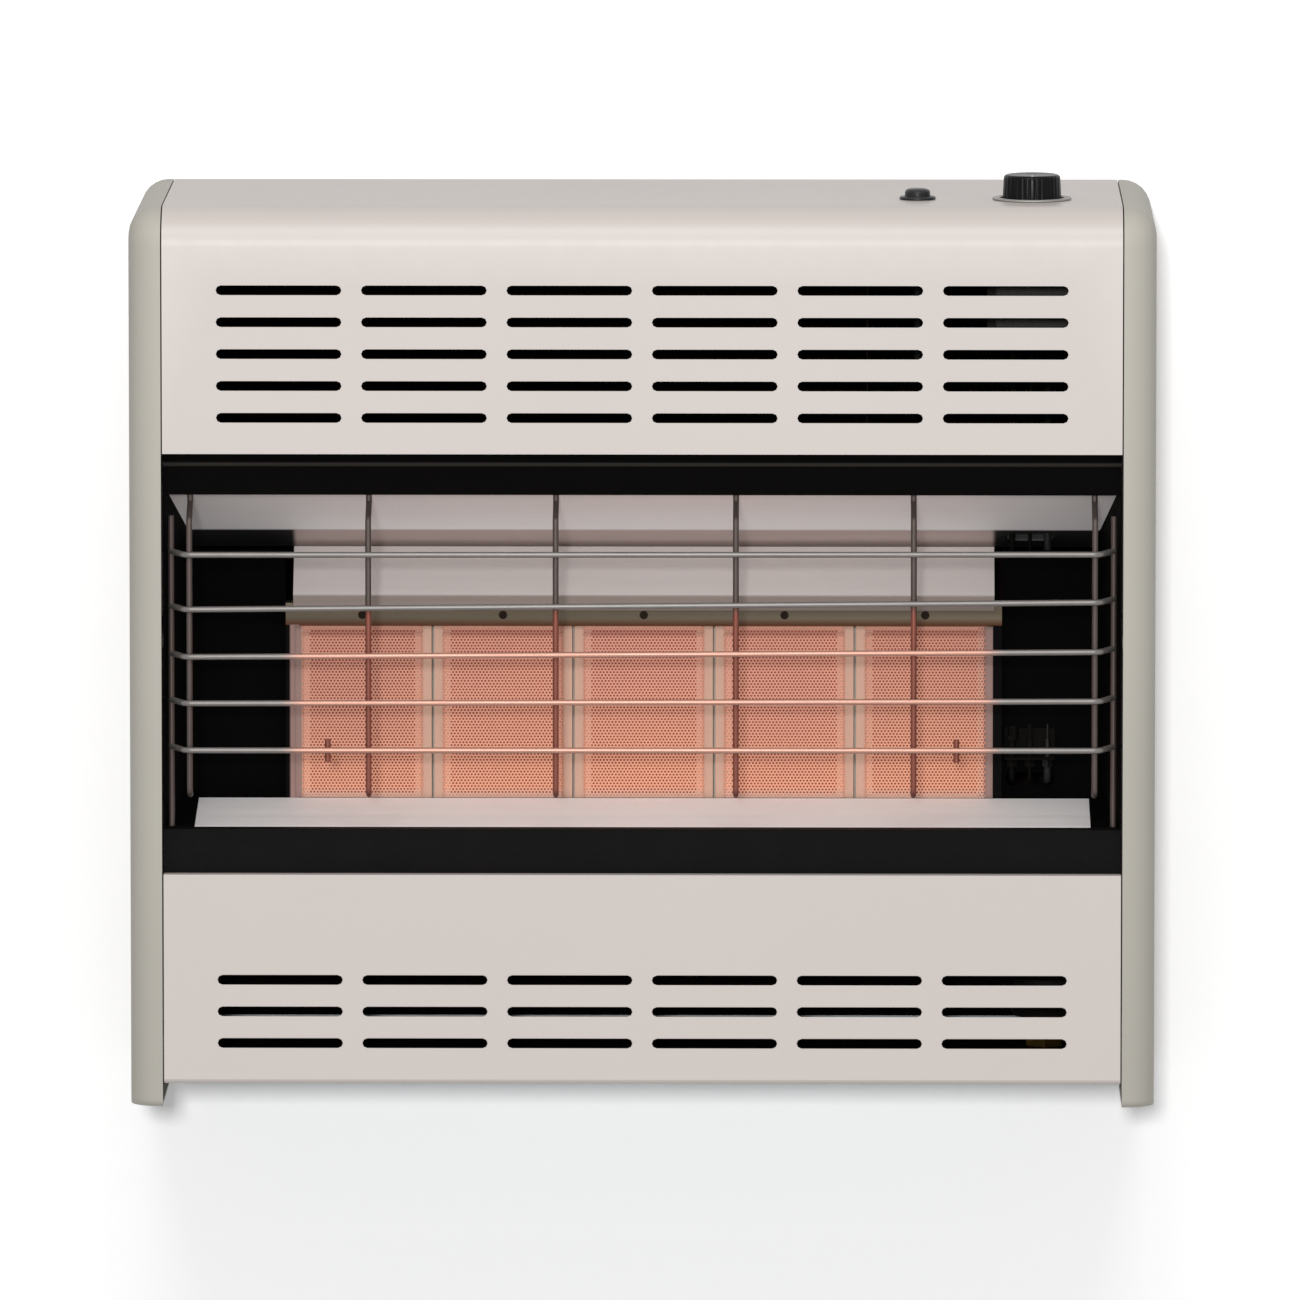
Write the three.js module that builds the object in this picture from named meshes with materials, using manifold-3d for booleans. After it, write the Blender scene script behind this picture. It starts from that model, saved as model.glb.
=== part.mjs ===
// Wall mounted gas heater: a sheet-steel casing with louvred front panels and moulded end caps, a five-plaque
// radiant burner between polished reflectors behind a wire guard, and a control bay with valve and igniter.
// Millimetres, +Z up, the front faces -Y, the origin is the centre of the back panel's wall face.
import * as THREE from 'three';
import { mergeVertices } from 'three/addons/utils/BufferGeometryUtils.js';
import Module from 'manifold-3d';

const wasm = await Module();
wasm.setup();

// ---------------------------------------------------------------- driving dimensions
// Casing
const bodyWidth = 688;
const bodyHeight = 590;
const bodyDepth = 235;
const sheet = 1.2;
const seat = 0.3; // gap left between faces that rest on each other
const seam = 0.8; // open joint between the front panels and the end caps
const topBendRadius = 26;
const panelReturn = 12;
const footBendRadius = 3;
const upperPanelDrop = 165; // top of the casing to the lower edge of the upper front panel
const lowerPanelHeight = 141.5;

// End caps
const capWidth = 22;
const capDrop = 16; // how far the caps stand below the front panels
const capWall = 2.2;
const capRound = 19;
const capFootRadius = 5;
const capBossRadius = 5;
const capBossInset = 34;

// Louvres
const slotMargin = 36.2; // outer slots' ends, in from the panel's ends
const slotBridge = 13.2; // metal left between two slots of a row
const slotHeight = 6.5;
const slotPitchZ = 21.4;
const slotColumns = 6;
const upperSlotRows = 5;
const lowerSlotRows = 3;
const upperSlotDrop = 55; // top of the casing to the first row
const lowerSlotRise = 27.5; // foot of the casing to the last row

// Back panel, wall bracket and shields
const flangeDepth = 20;
const hangRecessDepth = 5;
const hangRecessWidth = 420;
const hangRecessHeight = 56;
const hangRecessDrop = 80; // top of the casing to the recess centre
const bracketWidth = 380;
const bracketHeight = 38;
const hookSpacing = 260;
const hookWidth = 24;
const hookRise = 16;
const bracketSheet = 2;
const hookSlack = 2; // hooks' slots, longer than the hooks
const fixingHoleRadius = 3.2;
const fixingInset = 65;
const fixingRise = 25;
const rearShieldOffset = 30;
const rearShieldInset = 10; // in from the burner's ends
const rearShieldHeight = 300;
const rearShieldFoot = 12;
const trayRise = 14;
const intakeSlotWidth = 12;
const intakeColumns = 5;
const intakeRows = 3;
const intakeMargin = 5.2; // first slots' ends, in from the tray's end
const intakeBridge = 18; // metal left between two slots of a row
const intakeClear = 65; // last slots' ends, off the gas inlet's axis
const intakePitchY = 34;

// Rails and reflectors round the radiant opening
const railSetback = 9;
const railLip = 1.5;
const railLipHeight = 8;
const railFlange = 14;
const upperRailHeight = 28.2;
const lowerRailHeight = 29.7;
const lowerLipHeight = 4;
const lowerLipStep = 2;
const hoodFlange = 12;
const floorFlange = 13;
const hoodKneeRise = 122.7; // above the burner's centre
const hoodKneeDepth = 10; // behind the plaques' faces
const hoodLipRise = 109.2;
const hoodLipDepth = 30;
const hoodLipRun = 4;
const hoodLipTurn = 11;
const shieldInset = 13.5; // side shield's rear corner, in from the end cap
const shieldBackSetback = 11.4; // behind the plaques' faces
const shieldReturn = 8;
const shieldLap = 21; // foot flange's edge over the floor reflector, in from the end cap

// Burner
const burnerDrop = 55.4; // centre of the burner below the middle of the casing
const burnerSetback = 105; // plaque faces behind the front panels
const burnerInset = 85; // plaques' ends, in from the end caps
const plaqueHeight = 135;
const plaqueThickness = 13;
const plaqueGap = 1.5;
const plaqueCount = 5;
const plaqueBorder = 4.5;
const plaqueStep = 0.8;
const windowHeight = 117;
const frameSheet = 1.5;
const frameMargin = 5;
const gasketThickness = 1.5;
const gasketBorder = 9;
const plenumDepth = 54;
const plenumTaper = 14;
const coverStand = 5.1; // cover's bend above the burner frame
const coverRise = 31;
const coverSlope = 25.3;
const coverFlange = 10;
const coverLip = 5;
const coverLipDrop = 2;

// Mixer and injector, on one axis along X
const throatRadius = 9;
const mixerBellRadius = 15;
const mixerEndRadius = 16;
const mixerWall = 1;
const mixerLength = 176;
const mixerCollarStep = 4.4;
const mixerProud = 8; // bell mouth, outside the plenum's end
const mixerCollarReach = 3;
const mixerThroatStart = 14;
const mixerThroatEnd = 20;
const mixerTail = 20;
const mixerAxisDepth = 42; // behind the plaques' faces
const orificeRadius = 0.8;
const injectorRadius = 3.9;
const injectorBore = 2.4;
const injectorNose = 7;
const injectorHexRadius = 6;
const injectorHexLength = 7;
const injectorCageLength = 21;
const injectorCageHeight = 48;
const injectorCageWidth = 34;

// Wire guard
const wireRadius = 2;
const guardProud = 8; // wire centres ahead of the front panels
const guardWires = 5;
const guardPitchZ = 33;
const guardCentreDrop = 3;
const guardUprights = 4; // between the two at the guard's ends
const guardInset = 19; // end uprights, in from the end caps
const weldBite = 0.5;
const hookSlotClearance = 0.6;
const hookReach = 7; // upper hooks' ends above the rail's flange
const hookNeck = 6; // and their bends below it
const hookRun = 10; // drop of the wire from there to the guard's front
const uprightTail = 27.6; // uprights below the lowest level wire
const tipReach = 7; // turned-in tips of the uprights
const tipRise = 3;
const endWireRise = 24; // rear end wires above the highest level wire
const pinDepth = 7; // rear end wires' feet in the lower rail
const levelBend = 6;
const uprightBend = 4;

// Control knob, stem and valve
const knobInset = 60.8; // knob's axis, in from the end cap
const controlSetback = 75; // knob's and igniter's axes behind the front panels
const knobRadius = 19.7;
const knobRise = 17;
const knobSkirt = 8; // below the casing's top
const knobWall = 2.2;
const knobHubRadius = 6.5;
const knobTravel = 4;
const knobHoleClearance = 1.8;
const bezelWidth = 5;
const bezelThickness = 1.2;
const stemRadius = 3;
const stemFlat = 2.1; // flat's distance from the stem's axis
const stemClearance = 0.15;
const stemGrip = 13;
const collarRadius = 5.4;
const collarThickness = 2;
const washerThickness = 1.4;
const washerRadius = 8;
const bonnetRadius = 9;
const bonnetHeight = 12;
const springGap = 13.4;
const valveWidth = 60;
const valveDepth = 46;
const valveHeight = 52;
const stemInset = 8; // stem's reach into the valve
const portLength = 7;

// Igniter
const igniterInset = 137.7;
const igniterCollarRadius = 12.2;
const igniterCollarHeight = 2;
const igniterBarrelRadius = 10.3;
const igniterBoreRadius = 8.8;
const igniterButtonRadius = 8.5;
const igniterButtonRise = 5.6;
const igniterTravel = 5;
const igniterSpringLength = 14; // at the end of its travel
const igniterBodyLength = 58;
const igniterNutRadius = 14;
const igniterNutHeight = 5;

// Gas inlet, regulator, tubes and leads
const gasInset = 50;
const gasStand = 60; // inlet's axis off the wall
const inletRadius = 9;
const inletBore = 5;
const inletTail = 8; // below the casing's foot
const inletHexRadius = 14;
const inletHexHeight = 9;
const regulatorRadius = 27;
const regulatorHeight = 26;
const regulatorNeck = 9;
const regulatorNeckRadius = 10;
const supplyRadius = 5;
const burnerTubeRadius = 4;
const pilotTubeRadius = 2;
const thermoLeadRadius = 1.4;
const sparkLeadRadius = 2.5;
const tubeBend = 14;
const leadBend = 4.6;
const leadLane = 5.5; // leads' axes behind the side shield
const leadDrop = 15; // leads' way through the shield, below the pilot's shelf
const leadSlotWidth = 9;
const leadShelf = 24; // leads' turn to the rear, above the opening
const sparkShelf = 50;
const burnerTubeShelf = 40;

// Pilot
const pilotStand = 12; // pilot's axis beyond the plaques' end
const pilotPitch = 12;
const pilotProud = 9.4; // pilot axis ahead of the shield's back wall
const pilotShelfRise = -32; // below the burner's centre
const pilotShelf = 1.5;
const pilotShelfMargin = 5;
const pilotShelfReach = 6;
const pilotTab = 20;

// Controls' bay
const bayWidth = 172; // partition, in from the end cap
const partitionFlange = 12;
const partitionRise = 6; // above the radiant opening
const baffleRearDrop = 146;
const baffleFrontDrop = 12;
const baffleFlange = 12;

// ---------------------------------------------------------------- places that follow from them
const zTop = bodyHeight / 2;
const zFoot = -bodyHeight / 2;
const yFront = -bodyDepth;
const chassisHalf = bodyWidth / 2 - capWidth;
const panelHalf = chassisHalf - seam;
const innerHalf = chassisHalf - sheet - 2 * seat; // between the back panel's flanges
const openingTop = zTop - upperPanelDrop;
const openingFoot = zFoot + lowerPanelHeight;
const yRail = yFront + railSetback;
const zHood = openingTop - upperRailHeight; // lower edge of the upper rail
const zFloor = openingFoot + lowerRailHeight; // top of the lower rail
const yReflector = yRail + railFlange + seat;
const yPlaque = yFront + burnerSetback;
const burnerZ = -burnerDrop;
const burnerHalf = chassisHalf - burnerInset;
const plaquePitch = (2 * burnerHalf + plaqueGap) / plaqueCount;
const plaqueWidth = plaquePitch - plaqueGap;
const slotPitchX = (2 * (panelHalf - slotMargin) + slotBridge) / slotColumns;
const slotLength = slotPitchX - slotBridge;
const frameHalf = burnerHalf + frameMargin;
const yFrame = yPlaque - seat - frameSheet;
const frameTop = burnerZ + plaqueHeight / 2 + frameMargin + frameSheet;
const yShield = yPlaque + shieldBackSetback;
const shieldRearX = chassisHalf - shieldInset;
const shieldFrontX = chassisHalf - seam - sheet;
const yShieldFront = yRail + sheet + seat;
const yPlenum = yPlaque + plaqueThickness + gasketThickness + 2 * seat;
const mixerY = yPlaque + mixerAxisDepth;
const yGuard = yFront - guardProud;
const guardHalf = chassisHalf - guardInset;
const knobX = chassisHalf - knobInset;
const controlY = yFront + controlSetback;
const igniterX = chassisHalf - igniterInset;
const gasX = chassisHalf - gasInset;
const gasY = -gasStand;
const pilotX = burnerHalf + pilotStand;
const bayPartitionX = chassisHalf - bayWidth;
const intakeStart = -innerHalf + intakeMargin;
const intakePitchX = (gasX - intakeClear - intakeStart + intakeBridge) / intakeColumns;
const pilotShelfZ = burnerZ + pilotShelfRise;
const [thermoX, sparkX] = [pilotX + pilotPitch, pilotX + 2 * pilotPitch];
const leadLaneY = yShield + sheet + leadLane;
const leadSlotLength = 2 * pilotPitch + leadSlotWidth;

// ---------------------------------------------------------------- solids from three.js geometry
/** A manifold solid from a closed geometry, turned outwards. */
function solid(geometry) {
  const bare = geometry.index ? geometry.toNonIndexed() : geometry.clone();
  bare.deleteAttribute('normal');
  bare.deleteAttribute('uv');
  const merged = mergeVertices(bare, 1e-4);
  const index = merged.index.array;
  const triangles = [];
  for (let i = 0; i < index.length; i += 3) {
    const [a, b, c] = [index[i], index[i + 1], index[i + 2]];
    if (a !== b && b !== c && c !== a) triangles.push(a, b, c);
  }
  const make = (triVerts) => new wasm.Manifold(new wasm.Mesh({
    numProp: 3, vertProperties: new Float32Array(merged.getAttribute('position').array), triVerts,
  }));
  const made = make(new Uint32Array(triangles));
  if (made.volume() > 0) return made;
  const flipped = [];
  for (let i = 0; i < triangles.length; i += 3) {
    flipped.push(triangles[i], triangles[i + 2], triangles[i + 1]);
  }
  return make(new Uint32Array(flipped));
}

/** All the solids of a list joined into one. */
const joined = (solids) => solids.reduce((all, one) => all.add(one));

/** A solid with every cutter of a list taken away. */
const cut = (base, cutters) => cutters.reduce((left, cutter) => left.subtract(cutter), base);

/** A manifold solid as a three.js geometry. */
function geometryOf(manifold) {
  const { vertProperties, triVerts, numProp } = manifold.getMesh();
  const position = new Float32Array((vertProperties.length / numProp) * 3);
  for (let i = 0; i < position.length / 3; i++) {
    position.set(vertProperties.subarray(i * numProp, i * numProp + 3), i * 3);
  }
  const geometry = new THREE.BufferGeometry();
  geometry.setAttribute('position', new THREE.BufferAttribute(position, 3));
  geometry.setIndex(new THREE.BufferAttribute(new Uint32Array(triVerts), 1));
  return geometry;
}

/** A box between two corners. */
function box(x0, x1, y0, y1, z0, z1) {
  const geometry = new THREE.BoxGeometry(x1 - x0, y1 - y0, z1 - z0);
  return solid(geometry.translate((x0 + x1) / 2, (y0 + y1) / 2, (z0 + z1) / 2));
}

/** The extrusion of an outline given as pairs, from 0 to depth along its own third axis. */
function extruded(outline, depth) {
  const shape = new THREE.Shape(outline.map(([a, b]) => new THREE.Vector2(a, b)));
  return new THREE.ExtrudeGeometry(shape, { depth, bevelEnabled: false, steps: 1 });
}

const pairsAreYZ = new THREE.Matrix4().set(0, 0, 1, 0, 1, 0, 0, 0, 0, 1, 0, 0, 0, 0, 0, 1);
const pairsAreXZ = new THREE.Matrix4().set(1, 0, 0, 0, 0, 0, -1, 0, 0, 1, 0, 0, 0, 0, 0, 1);

/** A prism along X with its outline in Y and Z, and likewise for the two others. */
const prismX = (outline, x0, x1) => solid(
  extruded(outline, x1 - x0).applyMatrix4(pairsAreYZ).translate(x0, 0, 0));
const prismY = (outline, y0, y1) => solid(
  extruded(outline, y1 - y0).applyMatrix4(pairsAreXZ).translate(0, y1, 0));
const prismZ = (outline, z0, z1) => solid(extruded(outline, z1 - z0).translate(0, 0, z0));

/** A solid of revolution about Z from pairs of radius and height. */
const revolved = (profile, segments = 24) => solid(
  new THREE.LatheGeometry(profile.map(([r, h]) => new THREE.Vector2(r, h)), segments).rotateX(Math.PI / 2));

/** A round bar between two heights, at a place in plan; with six segments it is a hexagon. */
function post(x, y, z0, z1, radius, segments = 16) {
  const geometry = new THREE.CylinderGeometry(radius, radius, z1 - z0, segments);
  return solid(geometry.rotateX(Math.PI / 2).translate(x, y, (z0 + z1) / 2));
}

/** A round bar along X, and one along Y. */
const barX = (x0, x1, y, z, radius, segments = 16) => solid(
  new THREE.CylinderGeometry(radius, radius, x1 - x0, segments).rotateZ(Math.PI / 2)
    .translate((x0 + x1) / 2, y, z));
const barY = (x, y0, y1, z, radius, segments = 16) => solid(
  new THREE.CylinderGeometry(radius, radius, y1 - y0, segments).translate(x, (y0 + y1) / 2, z));

/** Points on an arc, both ends included. */
function arc(a, b, radius, from, to, steps) {
  return Array.from({ length: steps + 1 }, (_, i) => {
    const angle = from + ((to - from) * i) / steps;
    return [a + radius * Math.cos(angle), b + radius * Math.sin(angle)];
  });
}

/** The outline of a folded sheet: a path with the sheet's thickness on its left. */
function folded(path, thickness) {
  const normals = path.slice(1).map(([a, b], i) => {
    const [da, db] = [a - path[i][0], b - path[i][1]];
    const length = Math.hypot(da, db);
    return [-db / length, da / length];
  });
  const inner = path.map(([a, b], i) => {
    const before = normals[Math.max(i - 1, 0)];
    const after = normals[Math.min(i, normals.length - 1)];
    const share = thickness / (1 + before[0] * after[0] + before[1] * after[1]);
    return [a + (before[0] + after[0]) * share, b + (before[1] + after[1]) * share];
  });
  return [...path, ...inner.reverse()];
}

/** A rectangle's four corners. */
const rectangle = (a0, a1, b0, b1) => [[a0, b0], [a1, b0], [a1, b1], [a0, b1]];

/** A slot's outline with round ends, long side along the first axis. */
function slotOutline(a, b, length, height) {
  const reach = (length - height) / 2;
  return [
    ...arc(a + reach, b, height / 2, -Math.PI / 2, Math.PI / 2, 4),
    ...arc(a - reach, b, height / 2, Math.PI / 2, (3 * Math.PI) / 2, 4),
  ];
}

/** The centres of a row of equal pitches about zero. */
const centred = (count, pitch) => Array.from({ length: count }, (_, i) => (i - (count - 1) / 2) * pitch);

/** A closed skin over rings of equal point counts, with both end rings filled. */
function lofted(outlines) {
  const turned = THREE.ShapeUtils.isClockWise(outlines[0].map(([, y, z]) => new THREE.Vector2(y, z)));
  const rings = outlines.map((outline) => (turned ? [...outline].reverse() : outline));
  const count = rings[0].length;
  const positions = rings.flat().flat();
  const index = [];
  for (let r = 0; r + 1 < rings.length; r++) {
    for (let i = 0; i < count; i++) {
      const [a, b] = [r * count + i, r * count + ((i + 1) % count)];
      index.push(a, b, b + count, a, b + count, a + count);
    }
  }
  const flat = rings[0].map(([, y, z]) => new THREE.Vector2(y, z));
  for (const [a, b, c] of THREE.ShapeUtils.triangulateShape(flat, [])) {
    index.push(a, c, b);
    const last = (rings.length - 1) * count;
    index.push(last + a, last + b, last + c);
  }
  const geometry = new THREE.BufferGeometry();
  geometry.setAttribute('position', new THREE.Float32BufferAttribute(positions, 3));
  geometry.setIndex(index);
  return solid(geometry);
}

/** A route through points, straight between them with a round bend at each corner. */
class Route extends THREE.Curve {
  constructor(points, bend, bendSteps = 3) {
    super();
    const corners = points.map(([x, y, z]) => new THREE.Vector3(x, y, z));
    const heading = (i) => corners[i + 1].clone().sub(corners[i]).normalize();
    this.stations = [{ point: corners[0], tangent: heading(0) }];
    for (let i = 1; i + 1 < corners.length; i++) {
      const [before, after] = [heading(i - 1), heading(i)];
      const turn = before.angleTo(after);
      const side = after.clone().addScaledVector(before, -Math.cos(turn)).normalize();
      const start = corners[i].clone().addScaledVector(before, -bend * Math.tan(turn / 2));
      const centre = start.clone().addScaledVector(side, bend);
      for (let k = 0; k <= bendSteps; k++) {
        const angle = (turn * k) / bendSteps;
        const point = centre.clone().addScaledVector(side, -bend * Math.cos(angle));
        point.addScaledVector(before, bend * Math.sin(angle));
        const tangent = before.clone().multiplyScalar(Math.cos(angle));
        this.stations.push({ point, tangent: tangent.addScaledVector(side, Math.sin(angle)) });
      }
    }
    const last = corners.length - 1;
    this.stations.push({ point: corners[last], tangent: heading(last - 1) });
  }

  get steps() {
    return this.stations.length - 1;
  }

  getPointAt(share) {
    return this.stations[Math.round(share * this.steps)].point.clone();
  }

  getTangentAt(share) {
    return this.stations[Math.round(share * this.steps)].tangent.clone();
  }
}

/** A coil spring's centre line, standing on z0, its ends closed flat by its own pitch. */
class Coil extends THREE.Curve {
  constructor(radius, z0, z1, turns) {
    super();
    Object.assign(this, { radius, z0, z1, turns });
  }

  getPoint(share) {
    const angle = share * this.turns * 2 * Math.PI;
    const z = this.z0 + (this.z1 - this.z0) * share;
    return new THREE.Vector3(this.radius * Math.cos(angle), this.radius * Math.sin(angle), z);
  }
}

/** A round section swept along a curve. */
function swept(curve, radius, sides, steps = curve.steps) {
  const outline = Array.from({ length: sides }, (_, i) => {
    const angle = (2 * Math.PI * i) / sides;
    return new THREE.Vector2(radius * Math.cos(angle), radius * Math.sin(angle));
  });
  return solid(new THREE.ExtrudeGeometry(new THREE.Shape(outline), { steps, extrudePath: curve }));
}

/** A compression spring between two heights; it prints the gap between its turns. */
function spring(name, radius, wire, z0, z1, turns) {
  const gap = (z1 - z0 - 2 * wire) / turns - 2 * wire;
  console.log(`${name}: ${gap.toFixed(2)} mm between turns`);
  return swept(new Coil(radius, z0 + wire, z1 - wire, turns), wire, 5, turns * 8);
}

// ---------------------------------------------------------------- materials
const paint = (color, roughness = 0.45, metalness = 0.1) => new THREE.MeshStandardMaterial({
  color, roughness, metalness, flatShading: true,
});
const enamel = paint(0xdcd4c8);
const capPaint = paint(0xcfc9bc, 0.5);
const blackPaint = paint(0x141312, 0.55);
const polished = paint(0xd2d0ce, 0.18, 1);
const galvanised = paint(0xa9adb0, 0.42, 0.9);
const chrome = paint(0xd8dadc, 0.12, 1);
const ceramic = paint(0xe6a48c, 0.9, 0);
const fibre = paint(0xd9d3c4, 0.95, 0);
const brass = paint(0xb8934a, 0.3, 1);
const castAluminium = paint(0x9b9d9f, 0.5, 0.8);
const steel = paint(0x8d9093, 0.35, 1);
const blackPlastic = paint(0x0d0d0e, 0.35, 0);
const paleSteel = paint(0xc9c9c6, 0.3, 0.8);
const porcelain = paint(0x2b2624, 0.35, 0);
const silicone = paint(0x1c1b1b, 0.6, 0);

/** A named mesh for one piece. */
function piece(name, shape, material, parent, position = [0, 0, 0]) {
  const mesh = new THREE.Mesh(geometryOf(shape), material);
  mesh.name = name;
  mesh.position.set(...position);
  parent.add(mesh);
  return mesh;
}

// ---------------------------------------------------------------- casing
/** The end cap's outline in Y and Z, drawn in from the front and top by one inset and the rest by another. */
function capOutline(inset, rest) {
  const bend = Math.max(topBendRadius - inset, 1);
  const foot = zFoot - capDrop + rest;
  const front = yFront + inset;
  const top = zTop - inset;
  return [
    [-rest, foot],
    ...arc(front + capFootRadius, foot + capFootRadius, capFootRadius, -Math.PI / 2, -Math.PI, 3),
    ...arc(front + bend, top - bend, bend, Math.PI, Math.PI / 2, 6),
    [-rest, top],
  ];
}

/** One moulded end cap: a shell, open towards the casing, rounded along its front and top. */
function endCap(side) {
  const rounding = 6;
  const insetAt = (t) => capRound - Math.sqrt(Math.max(capRound ** 2 - t ** 2, 0));
  const ring = (x, inset, rest) => capOutline(inset, rest).map(([y, z]) => [side * x, y, z]);
  const skin = (wall, x0) => {
    const flat = capWidth - capRound;
    const rings = [ring(chassisHalf + x0, wall, wall)];
    for (let i = 0; i <= rounding; i++) {
      const t = capRound * Math.sin((Math.PI / 2) * (i / rounding) * 0.97);
      const x = chassisHalf + flat + t * (1 - wall / capRound);
      rings.push(ring(x, insetAt(t) * (1 - wall / capRound) + wall, wall));
    }
    return lofted(rings);
  };
  const shell = skin(0, 0).subtract(skin(capWall, -capWall));
  const bosses = [zTop - capBossInset, 0, zFoot + capBossInset].flatMap((z) => [yFront + capBossInset,
    -flangeDepth / 2].map((y) => {
    const [a, b] = [side * chassisHalf, side * (chassisHalf + capWidth - capWall)];
    return barX(Math.min(a, b), Math.max(a, b), y, z, capBossRadius, 8);
  }));
  return joined([shell, ...bosses]);
}

/** A block of louvre slots through the front, rows counted down from the first. */
function louvres(firstZ, rows) {
  return Array.from({ length: rows }, (_, row) => centred(slotColumns, slotPitchX).map((x) => prismY(
    slotOutline(x, firstZ - row * slotPitchZ, slotLength, slotHeight), yFront - 1, yFront + sheet + 1))).flat();
}

/** The upper front panel: the flat top, the large bend and the louvred front in one folded sheet. */
function upperFrontPanel() {
  const path = [
    [0, zTop],
    ...arc(yFront + topBendRadius, zTop - topBendRadius, topBendRadius, Math.PI / 2, Math.PI, 8),
    [yFront, openingTop],
    [yFront + panelReturn, openingTop],
  ];
  const knobHole = post(knobX, controlY, zTop - 5, zTop + 1, knobRadius + knobHoleClearance, 32);
  const igniterHole = post(igniterX, controlY, zTop - 5, zTop + 1, igniterBarrelRadius + seat, 24);
  return cut(prismX(folded(path, sheet), -panelHalf, panelHalf),
    [...louvres(zTop - upperSlotDrop, upperSlotRows), knobHole, igniterHole]);
}

/** The lower front panel, returned at its top and foot. */
function lowerFrontPanel() {
  const path = [
    [yFront + panelReturn, openingFoot],
    [yFront, openingFoot],
    ...arc(yFront + footBendRadius, zFoot + footBendRadius, footBendRadius, Math.PI, 1.5 * Math.PI, 3),
    [yFront + panelReturn, zFoot],
  ];
  const firstZ = zFoot + lowerSlotRise + (lowerSlotRows - 1) * slotPitchZ;
  return cut(prismX(folded(path, sheet), -panelHalf, panelHalf), louvres(firstZ, lowerSlotRows));
}

const recessZ = zTop - hangRecessDrop;

/** The back panel: a flanged plate with a pressed recess for the wall bracket and its fixing holes. */
function backPanel() {
  const x = chassisHalf - seat;
  const top = zTop - sheet - seat;
  const path = [[x, -flangeDepth], [x, 0], [-x, 0], [-x, -flangeDepth]];
  const plate = prismZ(folded(path, sheet), zFoot, top);
  const topFlange = box(-x, x, -flangeDepth, 0, top - sheet, top);
  const [halfX, halfZ] = [hangRecessWidth / 2, hangRecessHeight / 2];
  const pressed = box(-halfX, halfX, -hangRecessDepth - sheet, 0, recessZ - halfZ, recessZ + halfZ);
  const hollow = box(-halfX + sheet, halfX - sheet, -hangRecessDepth, 1,
    recessZ - halfZ + sheet, recessZ + halfZ - sheet);
  const hookSlots = centred(2, hookSpacing).map((hx) => box(hx - (hookWidth + hookSlack) / 2,
    hx + (hookWidth + hookSlack) / 2, -hangRecessDepth - 2 * sheet, 0, recessZ - hookRise + hookSlack,
    recessZ + sheet + seat));
  const fixings = centred(2, bodyWidth - 2 * fixingInset).map(
    (hx) => barY(hx, -5, 1, zFoot + fixingRise, fixingHoleRadius, 12));
  return cut(joined([plate, topFlange, pressed]), [hollow, ...hookSlots, ...fixings]);
}

/** The wall bracket: a strip screwed to the wall, with two hooks that pass through the back panel. */
function wallBracket() {
  const strip = box(-bracketWidth / 2, bracketWidth / 2, -bracketSheet, 0, recessZ - bracketHeight / 2,
    recessZ + bracketHeight / 2);
  const out = -hangRecessDepth - sheet - seat;
  const hookPath = [[-bracketSheet / 2, recessZ], [out - sheet, recessZ], [out - sheet, recessZ + hookRise]];
  const hooks = centred(2, hookSpacing).map((x) => prismX(
    folded(hookPath.reverse(), sheet), x - hookWidth / 2, x + hookWidth / 2));
  const holes = centred(4, bracketWidth / 4).map((x) => barY(x, -2 * bracketSheet, 1, recessZ, fixingHoleRadius, 12));
  return cut(joined([strip, ...hooks]), holes);
}

/** The bottom panel: a tray with air intake slots and the gas inlet's hole. */
function bottomPanel() {
  const [rear, front] = [-sheet - seat, yFront + footBendRadius + seat];
  const floor = zFoot + sheet + seat;
  const tray = prismX(folded([[front, floor + trayRise], [front, floor], [rear, floor],
    [rear, floor + trayRise]], sheet), -innerHalf, innerHalf);
  const length = intakePitchX - intakeBridge;
  const slots = centred(intakeRows, intakePitchY).flatMap((dy) => Array.from({ length: intakeColumns }, (_, i) => {
    const x = intakeStart + length / 2 + i * intakePitchX;
    return prismZ(slotOutline(x, yFront / 2 + dy, length, intakeSlotWidth), floor - 1, floor + 3);
  }));
  return cut(tray, [...slots, post(gasX, gasY, floor - 1, floor + 3, inletRadius + hookSlotClearance, 16)]);
}

/** The aluminised shield that stands off the back panel behind the burner. */
function rearHeatShield() {
  const half = burnerHalf - rearShieldInset;
  const web = half - rearShieldFoot;
  const foot = -sheet - seat;
  const path = [[-half, foot], [-web, foot], [-web, -rearShieldOffset], [web, -rearShieldOffset], [web, foot],
    [half, foot]];
  return prismZ(folded(path.reverse(), sheet), burnerZ - rearShieldHeight / 2, burnerZ + rearShieldHeight / 2);
}

// ---------------------------------------------------------------- rails, reflectors and shields
/** The guard's uprights, the half width of the slots for its wire ends, and where those stand. */
const uprightXs = centred(guardUprights + 2, (2 * guardHalf) / (guardUprights + 1));
const hookSlot = wireRadius + hookSlotClearance;
const yHook = yRail + railFlange / 2;

/** The black rail under the upper front panel, with slots for the guard's upper ends. */
function upperRail() {
  const top = openingTop - seat;
  const path = [
    [yRail + panelReturn, top], [yRail + railLip, top], [yRail + railLip, top - railLipHeight],
    [yRail, top - railLipHeight - railLip], [yRail, zHood], [yRail + railFlange, zHood],
  ];
  const slots = uprightXs.map((x) => box(x - hookSlot, x + hookSlot, yHook - hookSlot, yHook + hookSlot,
    zHood - 1, zHood + sheet + 1));
  return cut(prismX(folded(path, sheet), -panelHalf, panelHalf), slots);
}

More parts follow.
